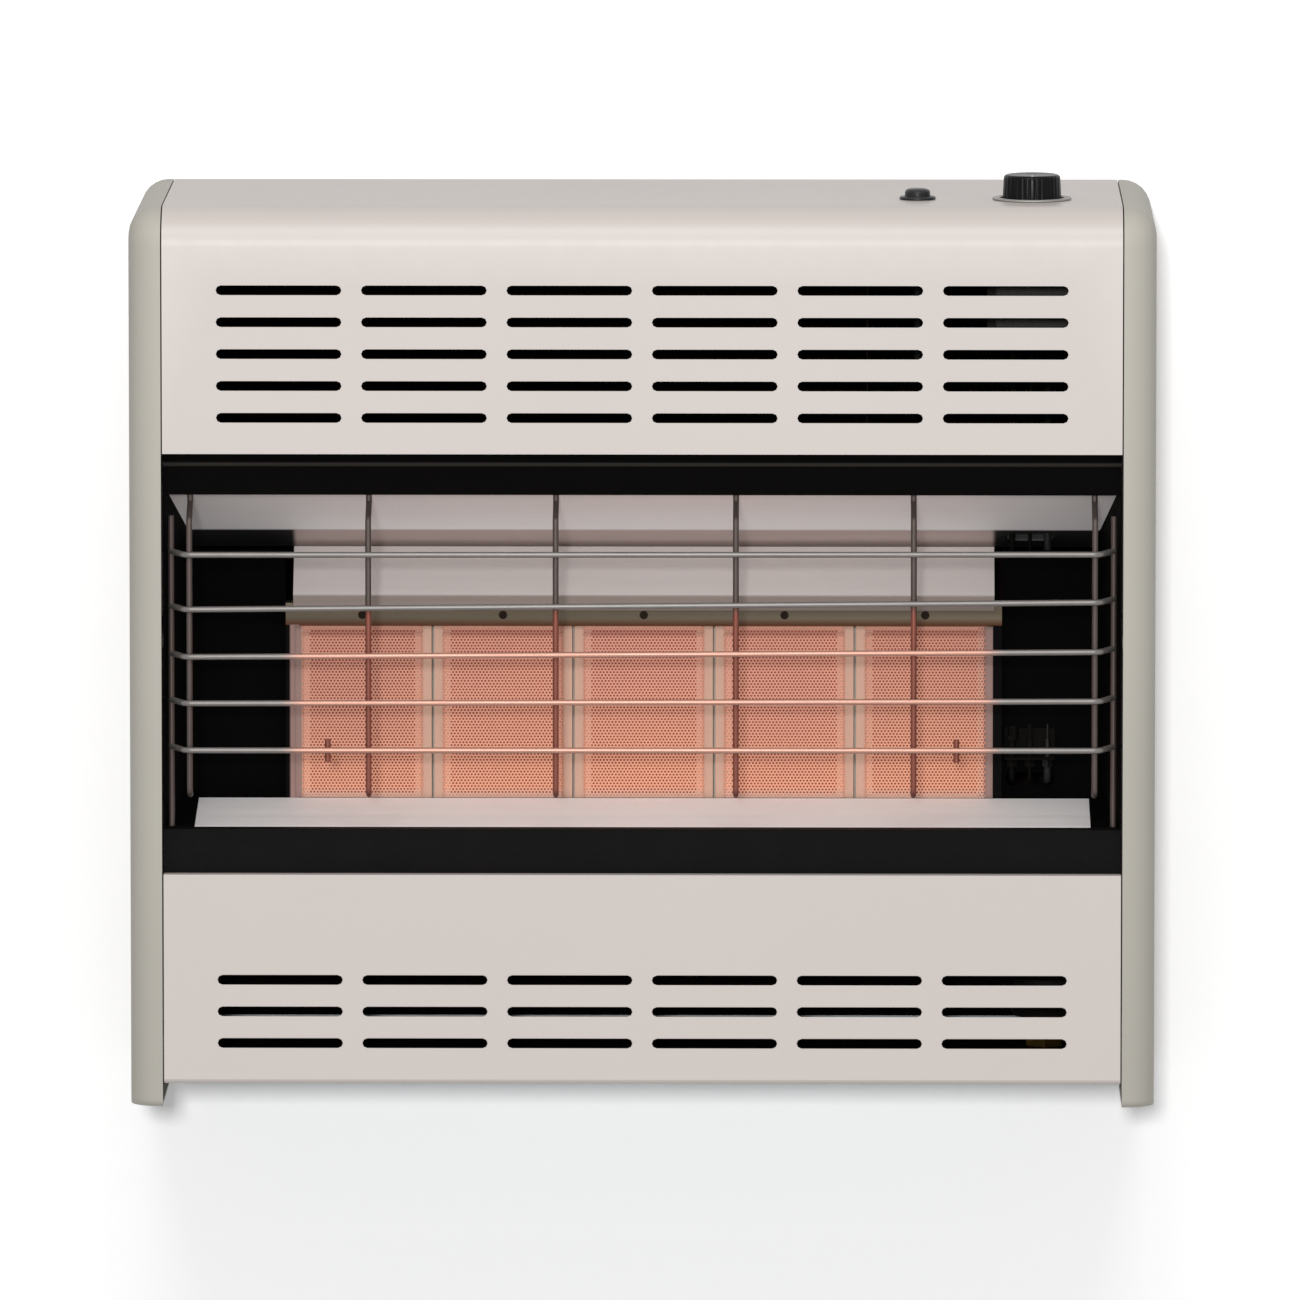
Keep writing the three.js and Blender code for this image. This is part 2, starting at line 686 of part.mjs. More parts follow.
/** The black rail over the lower front panel, with a hole at each end for the guard's feet. */
function lowerRail() {
  const foot = openingFoot + seat;
  const path = [
    [yRail + railFlange, zFloor], [yRail + railLip, zFloor], [yRail + railLip, zFloor - lowerLipHeight],
    [yRail, zFloor - lowerLipHeight - lowerLipStep], [yRail, foot], [yRail + panelReturn, foot],
  ];
  return cut(prismX(folded(path, sheet), -panelHalf, panelHalf), footHoles());
}

/** The side shield's inner face at a depth: it splays from the burner out to the rails. */
const splayX = (y) => shieldRearX + ((shieldFrontX - shieldRearX) * (yShield - y)) / (yShield - yShieldFront);
const zSill = burnerZ - windowHeight / 2;

/** Where the guard's rear end wires stand, and the holes for their feet. */
const endWireX = splayX(yHook) - wireRadius - 4 * seat;
const footHoles = () => [-endWireX, endWireX].map((x) => post(
  x, yHook, zFloor - 3 * sheet, zFloor + 3 * sheet, hookSlot, 12));

/** The plan that the two reflectors fill between the side shields. */
function reflectorPlan(rear) {
  const [front, back] = [yRail, rear];
  return [[-splayX(front) + seat, front], [splayX(front) - seat, front], [splayX(back) - seat, back],
    [-splayX(back) + seat, back]];
}

/** The polished hood over the burner: two facets between a front flange and a stiffened rear lip. */
function upperReflector() {
  const path = [
    [yReflector, zHood + hoodFlange], [yReflector, zHood],
    [yPlaque + hoodKneeDepth, burnerZ + hoodKneeRise], [yPlaque + hoodLipDepth, burnerZ + hoodLipRise],
    [yPlaque + hoodLipDepth + hoodLipRun, burnerZ + hoodLipRise + hoodLipTurn],
  ];
  const sheetHood = prismX(folded(path, sheet), -chassisHalf, chassisHalf);
  const leadSlot = prismZ(slotOutline(thermoX, leadLaneY, leadSlotLength, leadSlotWidth), burnerZ, zTop);
  return sheetHood.intersect(prismZ(reflectorPlan(yPlaque + hoodLipDepth + 2 * hoodLipRun), burnerZ, zTop)).subtract(
    leadSlot);
}

/** The polished floor in front of the burner, flanged down at its front and rear. */
function lowerReflector() {
  const rear = yFrame - seat;
  const path = [
    [rear, zSill - floorFlange], [rear, zSill], [yReflector, zFloor],
    [yReflector, zFloor - hoodFlange],
  ];
  const sheetFloor = prismX(folded(path, sheet), -chassisHalf, chassisHalf);
  return sheetFloor.intersect(prismZ(reflectorPlan(rear + 1), zFoot, burnerZ));
}

/** One black side shield: a splayed wall, a back wall beside the burner and a flange over the floor reflector. */
function sideShield(side) {
  const place = (points) => points.map(([x, y]) => [side * x, y]);
  const inner = frameHalf + seat;
  const wall = folded([[splayX(yShield + sheet), yShield + sheet], [shieldFrontX, yShieldFront]], sheet);
  const back = folded([[inner, yShield + shieldReturn], [inner, yShield], [shieldRearX + sheet, yShield]], sheet);
  const low = zFloor + seat;
  const lap = [[yShield, zSill + seat], [yFrame - seat, zSill + seat], [yReflector, low], [yShieldFront, low]];
  const edge = chassisHalf - shieldLap;
  const footPlan = [[edge, yShieldFront], [shieldFrontX + sheet / 2, yShieldFront],
    [shieldRearX + sheet / 2, yShield], [edge, yShield]];
  const flange = prismX(folded(lap, -sheet), -chassisHalf, chassisHalf).intersect(
    prismZ(place(footPlan), zFoot, zTop));
  const shape = cut(joined([prismZ(place(wall), low, zHood - seat),
    prismZ(place(back), low, burnerZ + hoodLipRise - seat), flange]), footHoles());
  if (side < 0) return shape;
  const hole = slotOutline(thermoX, pilotShelfZ - leadDrop, leadSlotLength, leadSlotWidth);
  return shape.subtract(prismY(hole, yShield - 1, yShield + 3));
}

/** The baffle that turns the warm air forward to the louvres, under the casing's top. */
function heatBaffle() {
  const [rear, front] = [zTop - baffleRearDrop, zTop - baffleFrontDrop];
  const reach = yFront + topBendRadius + sheet + seat;
  const path = [
    [-sheet - seat, rear - baffleFlange], [-sheet - seat, rear], [reach, front],
    [reach, zTop - sheet - seat],
  ];
  return prismX(folded(path, sheet), -innerHalf, bayPartitionX - seat);
}

/** The partition between the warm air's way and the control bay. */
function bayPartition() {
  const [rear, front] = [-flangeDepth - seat, yFront + topBendRadius + seat];
  const [low, high] = [openingTop + partitionRise, zTop - sheet - seat];
  const path = [[bayPartitionX + partitionFlange, high], [bayPartitionX, high], [bayPartitionX, low]];
  return prismY(folded(path, sheet), front, rear);
}

// ---------------------------------------------------------------- burner
/** A radiant ceramic plaque: its field stands proud of a plain border. */
function plaque() {
  const [w, h, t] = [plaqueWidth / 2, plaqueHeight / 2, plaqueThickness];
  const inset = (x) => plaqueBorder + x;
  const ring = (y, a) => [[-w + a, y, -h + a], [w - a, y, -h + a], [w - a, y, h - a], [-w + a, y, h - a]];
  const field = lofted([ring(plaqueStep + 0.5, inset(0)), ring(0, inset(plaqueStep))].map(
    (points) => points.map(([x, y, z]) => [y, x, z])));
  const body = box(plaqueStep, t, -w, w, -h, h);
  return body.add(field);
}

/** The fibre gasket behind the plaques: a frame with a bar behind each joint. */
function gasket() {
  const [half, high] = [burnerHalf, plaqueHeight / 2];
  const y0 = yPlaque + plaqueThickness + seat;
  const [y1, border] = [y0 + gasketThickness, gasketBorder];
  const windows = centred(plaqueCount, plaquePitch).map((x) => {
    const reach = plaqueWidth / 2 - border + plaqueGap;
    return box(x - reach, x + reach, y0 - 1, y1 + 1, burnerZ - high + border, burnerZ + high - border);
  });
  return cut(box(-half, half, y0, y1, burnerZ - high, burnerZ + high), windows);
}

/** The burner's plenum: a tapered pressed pan with a flange that the plaques are clamped to. */
function burnerBox() {
  const [half, high] = [burnerHalf - gasketBorder / 2, plaqueHeight / 2 - gasketBorder];
  const back = yPlenum + plenumDepth;
  const outline = (wall) => [
    [yPlenum - wall, burnerZ - high + wall], [yPlenum - wall, burnerZ + high - wall],
    [back - wall, burnerZ + high - plenumTaper - wall], [back - wall, burnerZ - high + plenumTaper + wall],
  ];
  const pan = prismX(outline(0), -half, half);
  const hollow = prismX(outline(sheet), -half + sheet, half - sheet);
  const flange = box(-burnerHalf, burnerHalf, yPlenum, yPlenum + sheet,
    burnerZ - plaqueHeight / 2, burnerZ + plaqueHeight / 2);
  const mouth = box(-half + sheet, half - sheet, yPlenum - 1, yPlenum + sheet + 1,
    burnerZ - high + sheet, burnerZ + high - sheet);
  const mixerHole = barX(half - 3, half + 3, mixerY, burnerZ, mixerCollar + seat, 20);
  return cut(joined([pan, flange]), [hollow, mouth, mixerHole]);
}

/** The burner's front frame: it clamps the plaques' upper and lower edges and leaves one long window. */
function burnerFrame() {
  const [high, depth] = [frameTop - burnerZ, plaqueThickness + gasketThickness];
  const channel = prismX(folded([[yFrame + depth, burnerZ + high], [yFrame, burnerZ + high],
    [yFrame, burnerZ - high], [yFrame + depth, burnerZ - high]], frameSheet), -frameHalf, frameHalf);
  const ends = [-1, 1].map((side) => {
    const [a, b] = [side * frameHalf, side * (frameHalf - frameSheet)];
    return box(Math.min(a, b), Math.max(a, b), yFrame, yFrame + depth, burnerZ - high, burnerZ + high);
  });
  const window = box(-burnerHalf + 1, burnerHalf - 1, yFrame - 1, yFrame + frameSheet + 1,
    burnerZ - windowHeight / 2, burnerZ + windowHeight / 2);
  return joined([channel, ...ends]).subtract(window);
}

/** The bright cover over the burner, sloped back to the hood's rear lip. */
function burnerCover() {
  const face = yFrame - seat - sheet;
  const coverFoot = frameTop + coverStand;
  const path = [
    [face + coverSlope + coverLip, coverFoot + coverRise - coverLipDrop], [face + coverSlope, coverFoot + coverRise],
    [face, coverFoot], [face, coverFoot - coverFlange],
  ];
  return prismX(folded(path, sheet), -burnerHalf, burnerHalf);
}

const mixerCollar = throatRadius + mixerCollarStep;
const boxEndX = burnerHalf - gasketBorder / 2;

/** The mixer tube: a bell mouth, a throat and a long diffuser inside the plenum. */
function mixerTube() {
  const mouth = boxEndX + mixerProud;
  const outer = [
    [mixerBellRadius + mixerWall, mouth], [mixerCollar, boxEndX + mixerCollarReach],
    [mixerCollar, boxEndX - mixerCollarReach], [throatRadius + mixerWall, boxEndX - mixerThroatStart],
    [throatRadius + mixerWall, boxEndX - mixerThroatEnd],
    [mixerEndRadius + mixerWall, mouth - mixerLength + mixerTail], [mixerEndRadius + mixerWall, mouth - mixerLength],
  ];
  const inner = outer.map(([r, x]) => [r - mixerWall, x]).reverse();
  const profile = [...outer, ...inner, outer[0]];
  const geometry = new THREE.LatheGeometry(profile.map(([r, x]) => new THREE.Vector2(r, x)), 20);
  return solid(geometry.rotateZ(-Math.PI / 2).translate(0, mixerY, burnerZ));
}

const cageX = boxEndX + seat;

/** The cage that holds the injector on the mixer's axis and leaves the primary air's way open. */
function injectorCage() {
  const [w, h, x1] = [injectorCageWidth / 2, injectorCageHeight / 2, cageX + injectorCageLength];
  const loop = prismY(rectangle(cageX, x1, burnerZ - h, burnerZ + h), mixerY - w, mixerY + w).subtract(
    prismY(rectangle(cageX + sheet, x1 - sheet, burnerZ - h + sheet, burnerZ + h - sheet),
      mixerY - w - 1, mixerY + w + 1));
  return cut(loop, [
    prismX(arc(mixerY, burnerZ, mixerCollar + seat, 0, 2 * Math.PI * (19 / 20), 19), cageX - 1, cageX + 5),
    barX(x1 - 3, x1 + 1, mixerY, burnerZ, injectorRadius + seat, 12),
  ]);
}

/** The brass injector with its orifice. */
function injector() {
  const x1 = cageX + injectorCageLength;
  const nose = x1 - sheet - injectorNose;
  const hexEnd = x1 + seat + injectorHexLength;
  const body = joined([
    barX(nose, x1 + seat + 1, mixerY, burnerZ, injectorRadius, 12),
    barX(x1 + seat, hexEnd, mixerY, burnerZ, injectorHexRadius, 6),
  ]);
  return cut(body, [barX(nose - 1, hexEnd, mixerY, burnerZ, orificeRadius, 8),
    barX(nose + injectorNose / 2, hexEnd + 1, mixerY, burnerZ, injectorBore, 8)]);
}

// ---------------------------------------------------------------- wire guard
const levels = centred(guardWires, guardPitchZ).map((z) => z - guardCentreDrop);

/** One upright of the guard, from its hook in the upper rail to its turned-in tip under the lowest level wire. */
function guardUpright(x) {
  const y = yGuard + 2 * wireRadius - weldBite;
  const foot = levels[0] - uprightTail;
  return swept(new Route([
    [x, yHook, zHood + hookReach], [x, yHook, zHood - hookNeck], [x, y, zHood - hookNeck - hookRun],
    [x, y, foot], [x, y + tipReach, foot - tipRise],
  ], uprightBend, 2), wireRadius, 6);
}

/** The guard: level wires bent back at both ends to rear end wires, and uprights welded behind them. */
function wireGuard() {
  const turnX = guardHalf + 1.5 * wireRadius;
  const wires = levels.map((z) => swept(new Route([
    [-endWireX, yHook, z], [-turnX, yGuard, z], [turnX, yGuard, z], [endWireX, yHook, z],
  ], levelBend, 3), wireRadius, 6));
  const returns = [-endWireX, endWireX].map((x) => post(x, yHook, zFloor - pinDepth,
    levels[guardWires - 1] + endWireRise, wireRadius, 6));
  return joined([...wires, ...uprightXs.map(guardUpright), ...returns]);
}

// ---------------------------------------------------------------- control knob and gas valve, about their axis
// Heights in this group are counted from the casing's top, downwards negative.
const hubFoot = -knobSkirt + 2;
const collarTop = hubFoot - 1.4;
const washerTop = collarTop - collarThickness - 0.1;
const bonnetTop = washerTop - washerThickness - springGap;
const valveTop = bonnetTop - bonnetHeight;
const stemFoot = valveTop - stemInset;

/** The stem's D section, grown by a clearance. */
function stemSection(grown = 0) {
  const r = stemRadius + grown;
  const flat = stemFlat + grown;
  const half = Math.acos(flat / r);
  return arc(0, 0, r, half, 2 * Math.PI - half, 14);
}

/** The knob: a tapered cup with a hub whose D bore takes the stem, and a pointer notch. */
function controlKnob() {
  const r = knobRadius;
  const cup = revolved([
    [0, knobRise - 0.6], [r - 4, knobRise], [r - 1.6, knobRise - 0.4], [r - 0.7, knobRise - 1.8], [r, -knobSkirt],
    [r - knobWall, -knobSkirt], [r - knobWall - 0.6, knobRise - 3.4], [0, knobRise - 3.4],
  ], 36);
  const hub = post(0, 0, hubFoot, knobRise - 3, knobHubRadius, 20);
  const bore = prismZ(stemSection(stemClearance), hubFoot - 1, hubFoot + stemGrip + 0.5);
  const pointer = box(-0.9, 0.9, -r - 1, -r + 7, knobRise - 0.9, knobRise + 1);
  return cut(joined([cup, hub]), [bore, pointer]);
}

/** The valve stem: a D-shaped grip, a collar that drives the thrust washer, and a round lower end. */
function valveStem() {
  const grip = prismZ(stemSection(), collarTop - 0.5, hubFoot + stemGrip);
  const collar = post(0, 0, collarTop - collarThickness, collarTop, collarRadius, 20);
  return joined([grip, collar, post(0, 0, stemFoot, collarTop - 0.5, stemRadius, 20)]);
}

/** A flat ring with a round hole. */
const ring = (outer, inner, z0, z1, segments, boreSegments = segments) => post(
  0, 0, z0, z1, outer, segments).subtract(post(0, 0, z0 - 1, z1 + 1, inner, boreSegments));

/** The bonnet that guides the stem into the valve. */
function valveBonnet() {
  const bore = stemRadius + seat;
  return revolved([
    [bore, valveTop + seat], [bonnetRadius, valveTop + seat], [bonnetRadius, valveTop + bonnetHeight * 0.6],
    [bonnetRadius - 1.5, bonnetTop], [bore, bonnetTop], [bore, valveTop + seat],
  ], 20);
}

/** The valve body: a chamfered casting with its stem bore and its inlet, outlet, pilot and sensor ports. */
function gasValve() {
  const [w, d] = [valveWidth / 2, valveDepth / 2];
  const low = valveTop - valveHeight;
  const chamfer = 6;
  const plan = [[-w + chamfer, -d], [w - chamfer, -d], [w, -d + chamfer], [w, d - chamfer], [w - chamfer, d],
    [-w + chamfer, d], [-w, d - chamfer], [-w, -d + chamfer]];
  const body = joined([
    prismZ(plan, low, valveTop),
    barY(inletPortX, d - 1, d + portLength, portZ, supplyRadius + 3, 12),
    barX(w - 1, w + portLength, outletPortY, portZ - 8, burnerTubeRadius + 3, 12),
    post(pilotX - knobX, leadPortY, low - portLength, low + 1, pilotTubeRadius + 3, 6),
    post(pilotX + pilotPitch - knobX, leadPortY, low - portLength, low + 1, thermoLeadRadius + 3, 6),
  ]);
  return cut(body, [post(0, 0, stemFoot - knobTravel - 1, valveTop + 1, stemRadius + 1, 16)]);
}

const inletPortX = gasX - knobX;
const outletPortY = 10;
const leadPortY = 10;
const portZ = valveTop - 22;

/** The valve's bracket, hung under the casing's top on both sides of the knob. */
function valveBracket() {
  const [w, d] = [valveWidth / 2 + 6, valveDepth / 2 - 5];
  const top = -sheet - seat;
  const plate = valveTop + seat + sheet;
  const path = [[-w - 12, top], [-w, top], [-w, plate], [w, plate], [w, top], [w + 12, top]];
  return prismY(folded(path, -sheet), -d, d).subtract(
    post(0, 0, plate - 5, plate + 5, bonnetRadius + seat, 20));
}

// ---------------------------------------------------------------- igniter, about its axis from the casing's top
/** The igniter's body: a collar on the casing's top, a threaded barrel and the piezo housing. */
function igniterBody() {
  const collarTopZ = igniterCollarHeight + seat;
  return cut(revolved([
    [0, -igniterBodyLength], [igniterBarrelRadius - 3, -igniterBodyLength],
    [igniterBarrelRadius - 2, -igniterBodyLength + 2], [igniterBarrelRadius - 2, igniterSeat - 3],
    [igniterBarrelRadius, igniterSeat - 1], [igniterBarrelRadius, seat], [igniterCollarRadius, seat],
    [igniterCollarRadius, collarTopZ - 0.7], [igniterCollarRadius - 0.9, collarTopZ], [0, collarTopZ],
  ], 24), [post(0, 0, igniterSeat, collarTopZ + 1, igniterBoreRadius, 24)]);
}

/** The igniter's button: a domed plunger that stands in the barrel. */
function igniterButton() {
  const [r, top] = [igniterButtonRadius, igniterCollarHeight + igniterButtonRise];
  return revolved([
    [0, buttonFoot], [r, buttonFoot], [r, top - 2.4], [r - 0.8, top - 1], [r - 3, top - 0.2], [0, top],
  ], 24);
}

const buttonFoot = -10;
const igniterSeat = buttonFoot - igniterTravel - igniterSpringLength;

/** The nut that clamps the igniter to the casing's top. */
const igniterNut = () => ring(igniterNutRadius, igniterBarrelRadius + seat, -sheet - seat - igniterNutHeight,
  -sheet - seat, 6, 24);

// ---------------------------------------------------------------- gas line
const inletFoot = zFoot - inletTail;
const regulatorFoot = zFoot + sheet + seat + sheet + seat + inletHexHeight + 3;
const regulatorTop = regulatorFoot + regulatorHeight + 2 * regulatorNeck;

/** The inlet fitting: a bored tail through the bottom panel under a hexagon. */
function inletFitting() {
  const shelf = zFoot + 2 * sheet + 2 * seat;
  const body = joined([
    post(0, 0, inletFoot, regulatorFoot - seat, inletRadius, 20),
    post(0, 0, shelf, shelf + inletHexHeight, inletHexRadius, 6),
  ]);
  return body.subtract(post(0, 0, inletFoot - 1, regulatorFoot, inletBore, 16));
}

/** The pressure regulator: a flat round body between two hexagon necks. */
function regulator() {
  const [z0, z1] = [regulatorFoot + regulatorNeck, regulatorFoot + regulatorNeck + regulatorHeight];
  const r = regulatorRadius;
  return joined([
    revolved([[0, z0], [r - 6, z0], [r - 3, z0 + 6], [r, z0 + 8], [r, z0 + 13], [r - 3, z0 + 15],
      [r - 7, z1], [0, z1]], 24),
    post(0, 0, regulatorFoot, z0 + 1, regulatorNeckRadius, 6),
    post(0, 0, z1 - 1, regulatorTop, regulatorNeckRadius - 2, 6),
  ]);
}

const valveFaceY = controlY + valveDepth / 2 + portLength + seat;
const inletPortZ = zTop + portZ;

/** The supply tube from the regulator up to the valve's inlet. */
const supplyTube = () => swept(new Route([
  [gasX, gasY, regulatorTop + seat], [gasX, gasY, inletPortZ], [gasX, valveFaceY, inletPortZ],
], tubeBend), supplyRadius, 10);

const injectorRear = cageX + injectorCageLength + 2 * seat + injectorHexLength;
const burnerTubeX = knobX + valveWidth / 2 + portLength + tubeBend;

/** The burner tube from the valve's outlet round to the injector. */
const burnerTube = () => swept(new Route([
  [knobX + valveWidth / 2 + portLength + seat, controlY + outletPortY, inletPortZ - 8],
  [burnerTubeX, controlY + outletPortY, inletPortZ - 8],
  [burnerTubeX, controlY + outletPortY, openingTop + burnerTubeShelf],
  [burnerTubeX, mixerY, openingTop + burnerTubeShelf], [burnerTubeX, mixerY, burnerZ],
  [injectorRear, mixerY, burnerZ],
], tubeBend - 2), burnerTubeRadius, 8);

// ---------------------------------------------------------------- pilot
const pilotY = yShield - pilotProud;
const leadPortZ = zTop + valveTop - valveHeight - portLength - seat;

/** A lead or tube from a port above down its lane, through the shield and up to the pilot's shelf. */
function pilotLead(x, start, radius, sides) {
  return swept(new Route([
    ...start, [x, leadLaneY, pilotShelfZ - leadDrop], [x, pilotY, pilotShelfZ - leadDrop],
    [x, pilotY, pilotShelfZ - seat - pilotNut],
  ], leadBend), radius, sides);
}

const pilotNut = 5;
const pilotBarrel = 2.3;
const pilotHoodRadius = 4.4;
const pilotHoodFloor = 13;
const pilotHoodTop = 22;
const jetTip = 1.2;
const probeTip = 1.6;
const sparkTip = 1;
const probeTop = 24;
const leadStart = (x) => [[x, controlY + leadPortY, leadPortZ],
  [x, controlY + leadPortY, openingTop + leadShelf], [x, leadLaneY, openingTop + leadShelf]];

/** The pilot's bracket: a shelf on the shield's back wall with a hole for each device. */
function pilotBracket() {
  const [x0, x1] = [pilotX - pilotShelfMargin, sparkX + pilotShelfMargin];
  const path = [[yShield - seat, pilotShelfZ + pilotTab], [yShield - seat, pilotShelfZ],
    [pilotY - pilotShelfReach, pilotShelfZ]];
  return cut(prismX(folded(path, -pilotShelf), x0, x1),
    [pilotX, thermoX, sparkX].map((x) => post(x, pilotY, pilotShelfZ - 2, pilotShelfZ + 3, 2.6, 12)));
}

/** A pilot device: a nut under the shelf, a barrel through it and a tip above. */
function pilotDevice(barrel, tip, tipTop) {
  return joined([
    post(0, 0, -pilotNut, -seat, 4, 6),
    post(0, 0, -seat - 1, 14, barrel, 12),
    post(0, 0, 13, tipTop, tip, 8),
  ]);
}

/** The pilot burner: its barrel carries a small hood that is open towards the plaque. */
function pilotBurner() {
  const [outer, floor, top] = [pilotHoodRadius, pilotHoodFloor, pilotHoodTop];
  const mouth = box(-outer - 2, 0.5, -outer - 2, -0.6, floor + 3, top + 1);
  const hood = ring(outer, outer - 1.2, floor, top, 12).subtract(mouth);
  return joined([pilotDevice(pilotBarrel, jetTip, floor + 3), ring(outer, 0.8, floor, floor + 1.4, 12), hood]);
}

// ---------------------------------------------------------------- assembly
const heater = new THREE.Group();
const groupAt = (x = 0, y = 0, z = 0) => {
  const group = new THREE.Group();
  group.position.set(x, y, z);
  heater.add(group);
  return group;
};

const casing = groupAt();
piece('back_panel', backPanel(), galvanised, casing);
piece('wall_bracket', wallBracket(), galvanised, casing);
piece('side_panel_left', endCap(-1), capPaint, casing);
piece('side_panel_right', endCap(1), capPaint, casing);
piece('upper_front_panel', upperFrontPanel(), enamel, casing);
piece('lower_front_panel', lowerFrontPanel(), enamel, casing);
piece('bottom_panel', bottomPanel(), galvanised, casing);
piece('rear_heat_shield', rearHeatShield(), galvanised, casing);
piece('heat_baffle', heatBaffle(), galvanised, casing);
piece('bay_partition', bayPartition(), galvanised, casing);

const surround = groupAt();
piece('upper_rail', upperRail(), blackPaint, surround);
piece('lower_rail', lowerRail(), blackPaint, surround);
piece('upper_reflector', upperReflector(), polished, surround);
piece('lower_reflector', lowerReflector(), polished, surround);
piece('side_shield_left', sideShield(-1), blackPaint, surround);
piece('side_shield_right', sideShield(1), blackPaint, surround);
piece('wire_guard', wireGuard(), chrome, surround);

const burner = groupAt();
piece('burner_box', burnerBox(), galvanised, burner);
piece('burner_gasket', gasket(), fibre, burner);
piece('burner_frame', burnerFrame(), steel, burner);
piece('burner_cover', burnerCover(), polished, burner);
piece('mixer_tube', mixerTube(), galvanised, burner);
piece('injector_cage', injectorCage(), galvanised, burner);
piece('injector', injector(), brass, burner);
const plaqueShape = plaque();
centred(plaqueCount, plaquePitch).forEach((x, i) => {
  const mesh = piece(`plaque_${i + 1}`, plaqueShape, ceramic, burner, [x, yPlaque, burnerZ]);
  mesh.rotation.set(0, 0, Math.PI / 2);
});

const control = groupAt(knobX, controlY, zTop);
piece('control_knob', controlKnob(), blackPlastic, control);
piece('valve_stem', valveStem(), steel, control);
piece('thrust_washer', ring(washerRadius, stemRadius + seat, washerTop - washerThickness, washerTop, 20), steel,
  control);
piece('stem_spring', spring('stem spring', 6, 0.6, bonnetTop + seat, washerTop - washerThickness - seat, 5),
  steel, control);
piece('valve_bonnet', valveBonnet(), brass, control);
piece('gas_valve', gasValve(), castAluminium, control);
piece('valve_bracket', valveBracket(), galvanised, control);
const knobHole = knobRadius + knobHoleClearance;
piece('dial_bezel', ring(knobHole + bezelWidth, knobHole, seat, seat + bezelThickness, 36), paleSteel, control);

const ignition = groupAt(igniterX, controlY, zTop);
piece('igniter_body', igniterBody(), blackPlastic, ignition);
piece('igniter_nut', igniterNut(), steel, ignition);
piece('igniter_button', igniterButton(), blackPlastic, ignition);
piece('igniter_spring', spring('igniter spring', 5, 0.7, igniterSeat + seat, buttonFoot - seat, 6), steel,
  ignition);

const gasLine = groupAt();
piece('inlet_fitting', inletFitting(), brass, gasLine, [gasX, gasY, 0]);
piece('regulator', regulator(), castAluminium, gasLine, [gasX, gasY, 0]);
piece('supply_tube', supplyTube(), castAluminium, gasLine);
piece('burner_tube', burnerTube(), castAluminium, gasLine);

const pilot = groupAt();
piece('pilot_bracket', pilotBracket(), steel, pilot);
piece('pilot_burner', pilotBurner(), steel, pilot, [pilotX, pilotY, pilotShelfZ]);
piece('thermocouple', pilotDevice(pilotBarrel, probeTip, probeTop), steel, pilot, [thermoX, pilotY, pilotShelfZ]);
piece('spark_electrode', pilotDevice(pilotBarrel, sparkTip, probeTop), porcelain, pilot, [sparkX, pilotY, pilotShelfZ]);
piece('pilot_tube', pilotLead(pilotX, leadStart(pilotX), pilotTubeRadius, 8), castAluminium, pilot);
piece('thermocouple_lead', pilotLead(thermoX, leadStart(thermoX), thermoLeadRadius, 6), brass, pilot);
const sparkStart = [
  [igniterX, controlY, zTop - igniterBodyLength - seat], [igniterX, controlY, openingTop + sparkShelf],
  [igniterX, leadLaneY, openingTop + sparkShelf], [sparkX, leadLaneY, openingTop + sparkShelf],
];
piece('ignition_lead', pilotLead(sparkX, sparkStart, sparkLeadRadius, 8), silicone, pilot);

export default heater;
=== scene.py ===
"""A wall mounted gas heater: louvred casing, ceramic plaque burner, polished reflectors and wire guard.

Metres, +Z up, the front faces -Y, and the origin is the centre of the back panel's wall face.
"""
import functools
import logging
import math
from dataclasses import dataclass, replace
from enum import Enum
from typing import Any, Iterable, Optional, Sequence, Union

import bmesh
import bpy
from mathutils import Matrix, Vector


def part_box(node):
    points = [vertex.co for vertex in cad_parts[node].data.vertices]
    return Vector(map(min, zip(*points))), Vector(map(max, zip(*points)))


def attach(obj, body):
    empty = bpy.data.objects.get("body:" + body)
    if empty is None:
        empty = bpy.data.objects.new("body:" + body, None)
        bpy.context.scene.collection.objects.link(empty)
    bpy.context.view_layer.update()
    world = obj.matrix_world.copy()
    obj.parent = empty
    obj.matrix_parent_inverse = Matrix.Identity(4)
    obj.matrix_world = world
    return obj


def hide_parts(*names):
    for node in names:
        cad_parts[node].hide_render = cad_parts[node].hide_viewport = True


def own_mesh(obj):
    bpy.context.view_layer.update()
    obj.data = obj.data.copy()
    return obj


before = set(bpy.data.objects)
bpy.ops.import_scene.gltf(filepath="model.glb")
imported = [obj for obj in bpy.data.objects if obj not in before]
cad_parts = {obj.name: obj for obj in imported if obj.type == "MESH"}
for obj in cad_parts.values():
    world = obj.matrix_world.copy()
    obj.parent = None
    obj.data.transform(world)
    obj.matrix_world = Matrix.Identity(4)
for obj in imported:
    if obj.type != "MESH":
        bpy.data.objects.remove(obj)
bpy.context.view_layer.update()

log = logging.getLogger("gas_heater")

Point = tuple[float, float, float]
Colour = tuple[float, float, float]
Number = Union["Socket", float]

MM = 0.001
EDGE_ANGLE = 38.0       # the least turn in degrees that counts as an edge on sheet and castings
TUBE_ANGLE = 50.0       # the same on wires and tubes, whose few sides have to look round
EDGE_STEPS = 2          # the steps of an eased edge
WIRE_SIDES = 12         # the sides of a guard wire's section
WIRE_BEND_STEPS = 5     # the steps of a guard wire's bend
MERGE_GAP = 2e-6        # corners of a CAD node that are closer than this in metres are one
FLAT_ANGLE = 0.4        # its triangles that turn by less than this in degrees are one flat face
SHADED_SHARE = 0.7       # the least cosine between a face's way and a direction whose faces get painted shade
